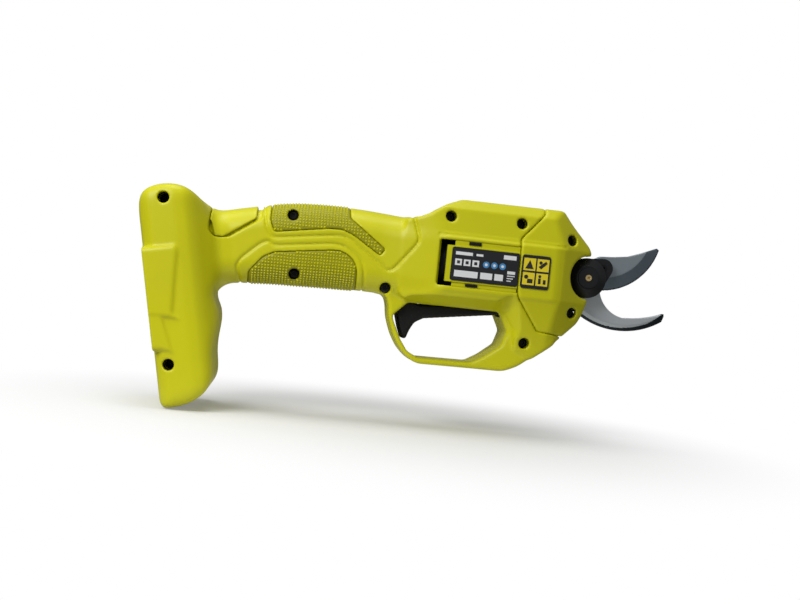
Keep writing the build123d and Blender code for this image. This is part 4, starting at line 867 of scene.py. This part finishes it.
# both blades are drawn about the pivot, with the cutting blade open
BOLT_R = 4.5
BLADE_BACK = 0.1  # the cutting blade's back runs this far off the mid plane
BLADE_THICK = 3.5
HOOK_THICK = 4.0
GRIND_FROM = 8.5  # the grinding starts ahead of the pivot
GRIND_WIDTH = 7.1
EDGE_WIDTH = 0.75
EDGE_BREAK = 0.3
EDGE_CENTRE = (9.0, 28.2)
EDGE_R = 34.0
HOOK_CENTRE = (24.0, 16.4)
HOOK_R = 43.3
HOOK_BEVEL_BELOW = 3.0
CUTTING_BLADE = (
    arc(EDGE_CENTRE, EDGE_R, -13.8, -86.9, 30)
    + arc((0, 0), 10.6, -36.0, -286.4, 30)
    + [(8.2, 12.9), (15.5, 13.4), (24.1, 14.6), (31.7, 17.3), (40.4, 21.0)]
)
HOOK_BLADE = (
    arc((27.8, -2.4), 17.3, 197.0, 266.3, 16)
    + arc((25.9, 40.5), 59.85, 270.8, 292.4, 12)
    + [(49.0, -16.4)]
    + arc(HOOK_CENTRE, HOOK_R, -56.0, -122.5, 24)
    + [(-7.0, -16.3)]
    + arc((0, 0), 11.0, 210.0, -22.0, 30)
)


def blade_room():
    """The grid round both blades, with the distances ahead of the pivot and above it, and the bolt's hole."""
    room = Room((PIVOT_X - 13, -5.0, AXIS_Z - 30), (PIVOT_X + 52, 6.0, AXIS_Z + 30), BLADE_STEP)
    u, v = room.x - PIVOT_X, room.z - AXIS_Z
    return room, u, v, np.sqrt(u * u + v * v) - BOLT_R


def inside_circle(centre, r, u, v):
    """Distance inwards from a circle."""
    return r - np.sqrt((u - centre[0]) ** 2 + (v - centre[1]) ** 2)


def build_cutting_blade():
    """The cutting blade: hollow grind from the edge, a second narrow bevel at the very edge."""
    room, u, v, bolt = blade_room()
    y = room.y
    outline = outline_field(CUTTING_BLADE, u, v)
    from_edge = inside_circle(EDGE_CENTRE, EDGE_R, u, v)
    grind = along([(-2, -0.3), (0, 0.45), (1.2, 0.95), (7.2, BLADE_THICK), (60, BLADE_THICK)], from_edge)
    blade = smooth_max(outline, y + BLADE_BACK, EDGE_BREAK)
    near_side = np.where(u > GRIND_FROM, -(y + BLADE_BACK) - grind, -y - (BLADE_THICK + BLADE_BACK))
    blade = smooth_max(blade, near_side, EDGE_BREAK)
    blade = np.maximum(blade, -(bolt - 0.05))
    points, quads = surface_of(blade, room)
    made = mesh_object("cutting_blade_form", points, quads, blade_steel)
    where = face_middles(made)
    ahead = where[:, 0] - PIVOT_X
    from_edge = inside_circle(EDGE_CENTRE, EDGE_R, ahead, where[:, 2] - AXIS_Z)
    # the sloping grind on the near side is painted darker: painted shade on that face
    ground = (from_edge < GRIND_WIDTH) & (ahead > GRIND_FROM) & (where[:, 1] < -0.3)
    # the narrow band at the cutting edge is painted near black, as painted shade on the edge bevel
    paint_faces(made, (blade_ground_painted_shade, ground), (edge_bevel_painted_shade, ground & (from_edge < EDGE_WIDTH)))
    place_piece(made, "blade", "blade_steel", "cutting_blade")


def build_hook_blade():
    """The fixed hook blade, with a bevel along its whole outer edge."""
    room, u, v, bolt = blade_room()
    y = room.y
    hook = outline_field(HOOK_BLADE, u, v)
    from_outer = inside_circle(HOOK_CENTRE, HOOK_R, u, v)
    outer_bevel = along([(-2, 1.4), (0, 1.2), (3.4, 0.0), (80, 0.0)], from_outer)
    outer_bevel = np.where(v < -HOOK_BEVEL_BELOW, outer_bevel, 0.0)
    shape = smooth_max(hook, y - HOOK_THICK, EDGE_BREAK)
    shape = smooth_max(shape, -y + outer_bevel, EDGE_BREAK)
    shape = np.maximum(shape, -bolt)
    points, quads = surface_of(shape, room)
    made = mesh_object("hook_blade_form", points, quads, hook_steel)
    where = face_middles(made)
    ahead = where[:, 0] - PIVOT_X
    from_outer = inside_circle(HOOK_CENTRE, HOOK_R, ahead, where[:, 2] - AXIS_Z)
    bevel_width = along([(0, 1.2), (20, 1.6), (40, 2.6), (50, 4.4)], ahead)
    # the hook's outer bevel below the pivot is painted near black, as painted shade on that bevel
    paint_faces(made, (edge_bevel_painted_shade, (from_outer < bevel_width) & (where[:, 2] < AXIS_Z - HOOK_BEVEL_BELOW)))
    place_piece(made, "housing", "hook_steel", "hook_blade")


TRIGGER_OUTLINE = [
    (128.9, 4.4), (131.4, -3.9), (133.4, -8.4), (135.4, -8.4), (136.8, -4.0), (139.2, 0.6), (143.8, 3.4),
    (183.2, 9.2), (188.0, 10.5), (188.0, 16.0), (183.0, 13.6), (139.4, 10.9), (138.5, 13.0), (128.4, 13.0),
]
TRIGGER_PIVOT = (188.0, 13.3)
TRIGGER_HALF = 8.0
TRIGGER_EYE_R = 2.8
TRIGGER_PIN_R = 1.6
RIB_DEPTH = 0.12
RIB_PITCH = 3.0
RIB_HALF = 6.5
RIBS_END = 178


def build_trigger():
    """The long black trigger with its finger hook, edges rounded."""
    room = Room((126.0, -9.2, -10.5), (193.0, 9.2, 18.5), TRIGGER_STEP)
    x, y = room.x, room.y
    eye = room.pin(*TRIGGER_PIVOT, -TRIGGER_HALF, TRIGGER_HALF, TRIGGER_EYE_R)
    outline = np.minimum(room.side(TRIGGER_OUTLINE, 1.0), eye)
    form = smooth_max(outline, np.abs(y) - TRIGGER_HALF, 2.0)
    # shallow grooves across the lever leave low ribs
    wave = np.maximum(np.cos(x * 2 * np.pi / RIB_PITCH), 0)
    form = form + RIB_DEPTH * wave * (np.abs(y) < RIB_HALF) * (x < RIBS_END)
    form = np.maximum(form, -room.pin(*TRIGGER_PIVOT, -TRIGGER_HALF - 1, TRIGGER_HALF + 1, TRIGGER_PIN_R))
    points, quads = surface_of(form, room)
    made = mesh_object("trigger_form", points, quads, black_plastic)
    place_piece(made, "trigger", "black_plastic", "trigger")


build_cutting_blade()
build_hook_blade()
build_trigger()


# ---------------------------------------------------------------- repeated pieces
def repeat_tree(name):
    """A geometry tree that sets one small piece on every given point, facing along "out"."""
    tree = bpy.data.node_groups.new(name, "GeometryNodeTree")
    tree.interface.new_socket("Geometry", in_out="INPUT", socket_type="NodeSocketGeometry")
    tree.interface.new_socket("Piece", in_out="INPUT", socket_type="NodeSocketObject")
    tree.interface.new_socket("Finish", in_out="INPUT", socket_type="NodeSocketMaterial")
    tree.interface.new_socket("Geometry", in_out="OUTPUT", socket_type="NodeSocketGeometry")
    nodes, link = tree.nodes, tree.links.new
    entry = nodes.new("NodeGroupInput")
    leave = nodes.new("NodeGroupOutput")
    info = nodes.new("GeometryNodeObjectInfo")
    link(entry.outputs["Piece"], info.inputs["Object"])
    facing = nodes.new("GeometryNodeInputNamedAttribute")
    facing.data_type = "FLOAT_VECTOR"
    facing.inputs["Name"].default_value = "out"
    heading = nodes.new("GeometryNodeInputNamedAttribute")
    heading.data_type = "FLOAT_VECTOR"
    heading.inputs["Name"].default_value = "heading"
    turn = nodes.new("FunctionNodeAxesToRotation")
    turn.primary_axis = "Z"
    turn.secondary_axis = "X"
    link(facing.outputs["Attribute"], turn.inputs["Primary Axis"])
    link(heading.outputs["Attribute"], turn.inputs["Secondary Axis"])
    on_points = nodes.new("GeometryNodeInstanceOnPoints")
    link(entry.outputs["Geometry"], on_points.inputs["Points"])
    link(info.outputs["Geometry"], on_points.inputs["Instance"])
    link(turn.outputs["Rotation"], on_points.inputs["Rotation"])
    real = nodes.new("GeometryNodeRealizeInstances")
    link(on_points.outputs["Instances"], real.inputs["Geometry"])
    finish = nodes.new("GeometryNodeSetMaterial")
    link(real.outputs["Geometry"], finish.inputs["Geometry"])
    link(entry.outputs["Finish"], finish.inputs["Material"])
    link(finish.outputs["Geometry"], leave.inputs["Geometry"])
    return tree


REPEAT = repeat_tree("set piece on points")


def repeat_piece(name, places, outs, heading, piece, material):
    """A plain mesh object with the piece repeated at places (mm)."""
    mesh = plain_mesh(name + "_points", places, [])
    out = mesh.attributes.new("out", "FLOAT_VECTOR", "POINT")
    out.data.foreach_set("vector", np.asarray(outs, np.float32).ravel())
    head = mesh.attributes.new("heading", "FLOAT_VECTOR", "POINT")
    head.data.foreach_set("vector", np.tile(np.asarray(heading, np.float32), len(places)))
    source = new_object(name + "_points", mesh)
    modifier = source.modifiers.new("repeat", "NODES")
    modifier.node_group = REPEAT
    sockets = {s.name: s.identifier for s in REPEAT.interface.items_tree if s.in_out == "INPUT"}
    modifier[sockets["Piece"]] = piece
    modifier[sockets["Finish"]] = material
    bpy.context.view_layer.update()
    evaluated = source.evaluated_get(bpy.context.evaluated_depsgraph_get())
    plain = bpy.data.meshes.new_from_object(evaluated)
    made = new_object(name, plain)
    bpy.data.objects.remove(source)
    return made


def ring_points(r, z, count):
    """A ring of points at one height."""
    turns = [2 * math.pi * i / count for i in range(count)]
    return [(r * math.cos(turn), r * math.sin(turn), z) for turn in turns]


def lathe(name, rings, material):
    """A closed round form from rings of equal point counts, first ring to last."""
    count = len(rings[0])
    points = [p for ring in rings for p in ring]
    faces = []
    for k in range(len(rings) - 1):
        for i in range(count):
            j = (i + 1) % count
            faces.append((k * count + i, k * count + j, (k + 1) * count + j, (k + 1) * count + i))
    faces.append(tuple(reversed(range(count))))
    faces.append(tuple((len(rings) - 1) * count + i for i in range(count)))
    mesh = plain_mesh(name, points, faces)
    mesh.materials.append(material)
    return new_object(name, mesh)


def star(r_in, r_out, z, count, lobes=6):
    """A ring with six lobes, for a screw drive."""
    out = []
    for i in range(count):
        a = 2 * math.pi * i / count
        r = r_in + (r_out - r_in) * (0.5 + 0.5 * math.cos(lobes * a))
        out.append((r * math.cos(a), r * math.sin(a), z))
    return out


def screw_piece():
    """One screw: shank, pan head with a rounded rim and a six-lobe recess."""
    n = 36
    rings = [
        ring_points(SCREW_SHANK_R, -SCREW_LENGTH, n), ring_points(SCREW_SHANK_R, 0.0, n),
        ring_points(SCREW_HEAD_R, 0.0, n), ring_points(SCREW_HEAD_R, 1.4, n),
        ring_points(SCREW_HEAD_R - 0.3, 1.95, n), ring_points(SCREW_HEAD_R - 0.9, SCREW_HEAD_H, n),
        star(1.0, 1.35, SCREW_HEAD_H, n), star(0.95, 1.3, 0.9, n),
    ]
    return lathe("screw_source", rings, screw_black)


def build_screws():
    """The black case screws of the housing and the nose."""
    source = screw_piece()
    groups = (("housing_screws", HOUSING_SCREWS), ("nose_screws", NOSE_SCREWS))
    for node, screws in groups:
        places = [(x, -seat, z) for x, z, seat in screws]
        outs = [(0, -1, 0)] * len(places)
        made = repeat_piece(node + "_form", places, outs, (1, 0, 0), source, screw_black)
        place_piece(made, "housing", "screw_black", node)
    bpy.data.objects.remove(source)


PYRAMID_PITCH = 1.6
PYRAMID_HALF = PYRAMID_PITCH * 0.44
PYRAMID_TOP_HALF = 0.16
PYRAMID_TALL = 0.5
PYRAMID_SINK = -0.35
PAD_MARGIN = 0.95  # no pyramids this close to a pad's outline


def pyramid_piece():
    """One pyramid with a flat top, its foot sunk into the pad."""
    half = PYRAMID_HALF
    base = [(-half, -half), (half, -half), (half, half), (-half, half)]
    points = [(u, v, PYRAMID_SINK) for u, v in base]
    points += [(u * PYRAMID_TOP_HALF / half, v * PYRAMID_TOP_HALF / half, PYRAMID_TALL) for u, v in base]
    faces = [(3, 2, 1, 0), (4, 5, 6, 7)] + [(i, (i + 1) % 4, (i + 1) % 4 + 4, i + 4) for i in range(4)]
    return new_object("pyramid_source", plain_mesh("pyramid_source", points, faces))


def grip_rows(skin, slopes, room):
    """Points one pitch apart on the left side of the grip, in rows from its bottom to its top."""
    stations = np.array(GRIP_STATIONS)
    angles = np.radians(np.arange(-89.5, 89.6, 0.5))
    places = []
    for cx in np.arange(44.0, 122.0, PYRAMID_PITCH):
        low, high, half_w = (along(stations[:, [0, size]], cx) for size in (1, 2, 3))
        line = np.stack([np.full(len(angles), cx), np.cos(angles) * half_w,
                         (low + high) / 2 + np.sin(angles) * (high - low) / 2], axis=1)
        # the line round the section is moved onto the skin
        for _ in range(6):
            at = (line - room.low) / room.step
            value = sample(skin, at)
            slope = np.stack([sample(s, at) for s in slopes], axis=1)
            slope[:, 0] = 0
            line -= (value / np.maximum((slope ** 2).sum(axis=1), 0.3))[:, None] * slope
        line[:, 0] = cx
        steps = np.sqrt((np.diff(line, axis=0) ** 2).sum(axis=1))
        length = np.concatenate([[0], np.cumsum(steps)])
        for s in np.arange(PYRAMID_PITCH * 0.5, length[-1], PYRAMID_PITCH):
            k = int(np.searchsorted(length, s)) - 1
            t = (s - length[k]) / max(length[k + 1] - length[k], 1e-9)
            places.append(line[k] * (1 - t) + line[k + 1] * t)
    return np.array(places)


def build_pad_texture():
    """Small pyramids in rows over the grip pads."""
    source = pyramid_piece()
    room = Room((40.0, -1.6, 8.0), (126.0, 22.0, 64.0), PAD_STEP)
    skin, _ = skin_form(room)
    slopes = np.gradient(skin, room.step)
    rows = grip_rows(skin, slopes, room)
    for name, outline in (("upper", PAD_UPPER), ("lower", PAD_LOWER)):
        inside = outline_field(rounded(outline, PAD_ROUND), rows[:, 0], rows[:, 2]) < -PAD_MARGIN
        inside &= rows[:, 1] > 0.9
        places = rows[inside]
        at = (places - room.low) / room.step
        outs = np.stack([sample(s, at) for s in slopes], axis=1)
        outs /= np.linalg.norm(outs, axis=1)[:, None]
        for right, word in ((True, "right"), (False, "left")):
            spots, facing = places.copy(), outs.copy()
            if right:
                clear = np.ones(len(spots), bool)
                for sx, sz, _ in HOUSING_SCREWS:
                    clear &= np.hypot(spots[:, 0] - sx, spots[:, 2] - sz) > SCREW_POCKET_R + 0.8
                spots, facing = spots[clear], facing[clear]
                spots[:, 1] *= -1
                facing[:, 1] *= -1
            made = repeat_piece(f"grip_pad_{name}_{word}_grain", spots, facing, (1, 0, 0), source, pad_points)
            place_piece(made, "housing", "grip_pad")
    bpy.data.objects.remove(source)


build_screws()
build_pad_texture()


# ---------------------------------------------------------------- labels
MARK_THICK = 0.06
PRINT_FACE = -BODY_HALF - 0.3  # face of the label film
BOX_STEP = 4.6
BADGE_STEP = 4.4
TILE_SIZE = (6.4, 6.6)


def plate(points, y, thick):
    """Corner points and faces of a thin plate with its outline in X and Z, facing the right side."""
    count = len(points)
    corners = [(u, y, v) for u, v in points] + [(u, y + thick, v) for u, v in points]
    faces = [tuple(range(count)), tuple(reversed(range(count, 2 * count)))]
    faces += [(i + count, (i + 1) % count + count, (i + 1) % count, i) for i in range(count)]
    return corners, faces


def rectangle(x0, x1, z0, z1):
    """Outline of a rectangle."""
    return [(x0, z0), (x1, z0), (x1, z1), (x0, z1)]


def disc(x, z, r, count=28):
    """Outline of a round mark."""
    return [(x + u, z + v) for u, v, _ in ring_points(r, 0.0, count)]


def print_piece(name, outlines, y, material):
    """Flat printed shapes as one thin piece on a label."""
    points, faces = [], []
    for outline in outlines:
        corners, sides = plate(outline, y, MARK_THICK)
        faces += [tuple(i + len(points) for i in side) for side in sides]
        points += corners
    mesh = plain_mesh(name, points, faces)
    mesh.materials.append(material)
    place_piece(new_object(name, mesh), "housing", "label")


def build_rating_label():
    """Bars, boxes and round badges on the side panel, no lettering."""
    white = [
        rectangle(155.0, 164.0, 38.9, 40.6), rectangle(166.0, 169.6, 39.1, 40.3),
        rectangle(180.6, 187.4, 39.0, 41.2),
    ]
    dark, blue = [], []
    for i in range(3):
        white.append(rectangle(155.0 + i * BOX_STEP, 158.6 + i * BOX_STEP, 33.4, 36.8))
        dark.append(rectangle(156.0 + i * BOX_STEP, 157.6 + i * BOX_STEP, 34.3, 35.9))
    for i in range(3):
        blue.append(disc(171.6 + i * BADGE_STEP, 35.1, 1.75))
        white.append(disc(171.6 + i * BADGE_STEP, 35.1, 0.75))
    for x0, x1 in ((155.0, 167.6), (169.0, 175.4), (176.6, 181.2)):
        white.append(rectangle(x0, x1, 27.4, 30.8))
    white.append(rectangle(183.2, 187.4, 31.4, 33.0))
    for i in range(3):
        white.append(rectangle(183.2, 187.4 - i * 0.9, 30.2 - i * 1.3, 30.7 - i * 1.3))
    print_piece("rating_label_fields", white, PRINT_FACE - 0.05, print_white)
    print_piece("rating_label_badges", blue, PRINT_FACE - 0.03, print_blue)
    print_piece("rating_label_dark", dark, PRINT_FACE - 0.09, print_dark)


def build_warning_label():
    """Four yellow tiles with plain pictograms."""
    wide, high = TILE_SIZE
    yellow, marks = [], []
    for i, (x, z) in enumerate([(191.6, 34.6), (198.8, 34.6), (191.6, 27.0), (198.8, 27.0)]):
        yellow.append(rectangle(x, x + wide, z, z + high))
        if i == 0:
            marks.append([(x + 0.9, z + 0.9), (x + 5.5, z + 0.9), (x + 3.2, z + 5.6)])
        elif i == 1:
            marks.append([(x + 0.8, z + 2.4), (x + 2.2, z + 1.2), (x + 5.6, z + 4.4), (x + 4.6, z + 5.6)])
            marks.append(disc(x + 1.9, z + 4.6, 0.9, 16))
        elif i == 2:
            marks.append(disc(x + 1.9, z + 4.2, 1.1, 16))
            marks.append(rectangle(x + 2.6, x + 5.5, z + 1.0, z + 3.2))
        else:
            marks.append(disc(x + 2.0, z + 5.0, 0.8, 16))
            marks.append(rectangle(x + 1.3, x + 2.7, z + 1.0, z + 4.0))
            marks.append(rectangle(x + 3.9, x + 5.4, z + 1.0, z + 3.4))
    print_piece("warning_label_tiles", yellow, PRINT_FACE - 0.05, print_yellow)
    print_piece("warning_label_marks", marks, PRINT_FACE - 0.09, print_dark)


def build_clip_slot_shade():
    """Black sheets at the two clip slots in the upper and lower edges of the side panel's slot: painted shade
    inside those clip slots.
    """
    # black sheets where the clip slots are: painted shade
    slot_shade_sheets = [rectangle(161.6, 168.2, z0, z1) for z0, z1 in ((44.5, 46.2), (22.5, 24.0))]
    print_piece("panel_clips", slot_shade_sheets, 0.3 - BODY_HALF, black_plastic)


build_clip_slot_shade()
build_rating_label()
build_warning_label()


# ---------------------------------------------------------------- remaining CAD nodes
BROKEN_EDGE = 0.18 * MM
WELD_REACH = 0.002 * MM
SHARP_ANGLE = math.radians(38)


def finish_nodes():
    """Every CAD node that is shown as it is gets its finish and slightly broken edges."""
    slots = {}
    for entry in frame["record"]["subparts"]:
        slots[entry["node"]] = entry["material_slot"]
    for name, node in frame["nodes"].items():
        material = SLOT_MATERIAL.get(slots.get(name), plain_steel)
        if name in ("motor_can", "ring_gear"):
            material = can_black
        node.data.materials.clear()
        node.data.materials.append(material)
        if node.hide_render:
            continue
        weld = node.modifiers.new("weld", "WELD")
        weld.merge_threshold = WELD_REACH
        bevel = node.modifiers.new("edges", "BEVEL")
        bevel.width = BROKEN_EDGE
        bevel.segments = 2
        bevel.limit_method = "ANGLE"
        bevel.angle_limit = SHARP_ANGLE


finish_nodes()


# ---------------------------------------------------------------- floor, light and camera
FLOOR_CARD_R = 0.04  # metres of plain card round the tool's middle
FLOOR_WHITE_R = 0.25  # from here on the floor is seen as plain white
FLOOR_MIDDLE = (0.12, 0.0, 0.0)
FLOOR_HALF = 60
# the white floor and the sky are seen at full strength and light the tool with less
FLOOR_GLOW = 0.12
SKY_GLOW = 0.26
CAMERA_AIM = (131.0, 0, 12.0)
CAMERA_DISTANCE = 0.62
CAMERA_TURN = math.radians(6.0)
LENS_LENGTH = 51.2


def area_light(name, place, aim, size, power):
    """A white rectangular light that faces the point it aims at."""
    light = bpy.data.lights.new(name, "AREA")
    light.shape = "RECTANGLE"
    light.size, light.size_y = size
    light.energy = power
    holder = new_object(name, light)
    holder.location = place
    holder.rotation_mode = "QUATERNION"
    holder.rotation_quaternion = (Vector(aim) - Vector(place)).to_track_quat("-Z", "Y")
    holder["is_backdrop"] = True


def floor_material():
    """Pale card under the tool that runs out into plain white all round it."""
    material, nodes, link, bsdf = new_material("studio floor")
    bsdf.inputs["Base Color"].default_value = (0.86, 0.86, 0.86, 1)
    bsdf.inputs["Roughness"].default_value = 0.9
    place = nodes.new("ShaderNodeTexCoord")
    middle = nodes.new("ShaderNodeVectorMath")
    middle.operation = "DISTANCE"
    middle.inputs[1].default_value = FLOOR_MIDDLE
    link(place.outputs["Object"], middle.inputs[0])
    spread = nodes.new("ShaderNodeMapRange")
    spread.interpolation_type = "SMOOTHSTEP"
    spread.inputs["From Min"].default_value = FLOOR_CARD_R
    spread.inputs["From Max"].default_value = FLOOR_WHITE_R
    link(middle.outputs["Value"], spread.inputs["Value"])
    seen = nodes.new("ShaderNodeLightPath")
    glow = nodes.new("ShaderNodeMapRange")
    glow.inputs["To Min"].default_value = FLOOR_GLOW
    glow.inputs["To Max"].default_value = 1.0
    link(seen.outputs["Is Camera Ray"], glow.inputs["Value"])
    white = nodes.new("ShaderNodeEmission")
    link(glow.outputs["Result"], white.inputs["Strength"])
    mix = nodes.new("ShaderNodeMixShader")
    link(spread.outputs["Result"], mix.inputs["Fac"])
    link(bsdf.outputs["BSDF"], mix.inputs[1])
    link(white.outputs["Emission"], mix.inputs[2])
    link(mix.outputs["Shader"], nodes["Material Output"].inputs["Surface"])
    return material


def studio():
    """A plain pale floor, a soft sky and two large soft lights."""
    low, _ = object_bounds()
    mesh = bpy.data.meshes.new("floor")
    corners = [(-FLOOR_HALF, -FLOOR_HALF, 0), (FLOOR_HALF, -FLOOR_HALF, 0), (FLOOR_HALF, FLOOR_HALF, 0),
               (-FLOOR_HALF, FLOOR_HALF, 0)]
    mesh.from_pydata(corners, [], [(0, 1, 2, 3)])
    mesh.materials.append(floor_material())
    floor = new_object("floor", mesh)
    floor.location.z = low.z - 0.0005
    floor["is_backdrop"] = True
    world = bpy.data.worlds.new("studio")
    bpy.context.scene.world = world
    world.use_nodes = True
    nodes, link = world.node_tree.nodes, world.node_tree.links.new
    sky = nodes["Background"]
    sky.inputs["Color"].default_value = (1, 1, 1, 1)
    # the sky is seen white but lights the tool more softly
    seen = nodes.new("ShaderNodeLightPath")
    strength = nodes.new("ShaderNodeMapRange")
    strength.inputs["To Min"].default_value = SKY_GLOW
    strength.inputs["To Max"].default_value = 1.0
    link(seen.outputs["Is Camera Ray"], strength.inputs["Value"])
    link(strength.outputs["Result"], sky.inputs["Strength"])
    area_light("key light", (-0.24, -0.46, 0.36), (0.0, 0, 0.0), (0.34, 0.26), 3.1)
    area_light("top light", (0.0, -0.05, 0.85), (0.08, 0, 0.0), (0.6, 0.35), 3.0)


def camera():
    """Level with the tool, standing six degrees towards its foot and rolled by six degrees."""
    lens = bpy.data.cameras.new("camera")
    holder = new_object("camera", lens)
    lens.sensor_width = 36.0
    lens.lens = LENS_LENGTH
    lens.clip_start = 0.01
    turn = CAMERA_TURN
    ahead = Vector((math.sin(turn), math.cos(turn), 0))
    level = Vector((math.cos(turn), -math.sin(turn), 0))
    right = math.cos(turn) * level + math.sin(turn) * Vector((0, 0, 1))
    up = -math.sin(turn) * level + math.cos(turn) * Vector((0, 0, 1))
    place = Vector(CAMERA_AIM) * MM - ahead * CAMERA_DISTANCE
    holder.matrix_world = Matrix((
        (right.x, up.x, -ahead.x, place.x),
        (right.y, up.y, -ahead.y, place.y),
        (right.z, up.z, -ahead.z, place.z),
        (0, 0, 0, 1),
    ))
    bpy.context.scene.camera = holder


studio()
camera()
bpy.context.scene.view_settings.view_transform = "Standard"
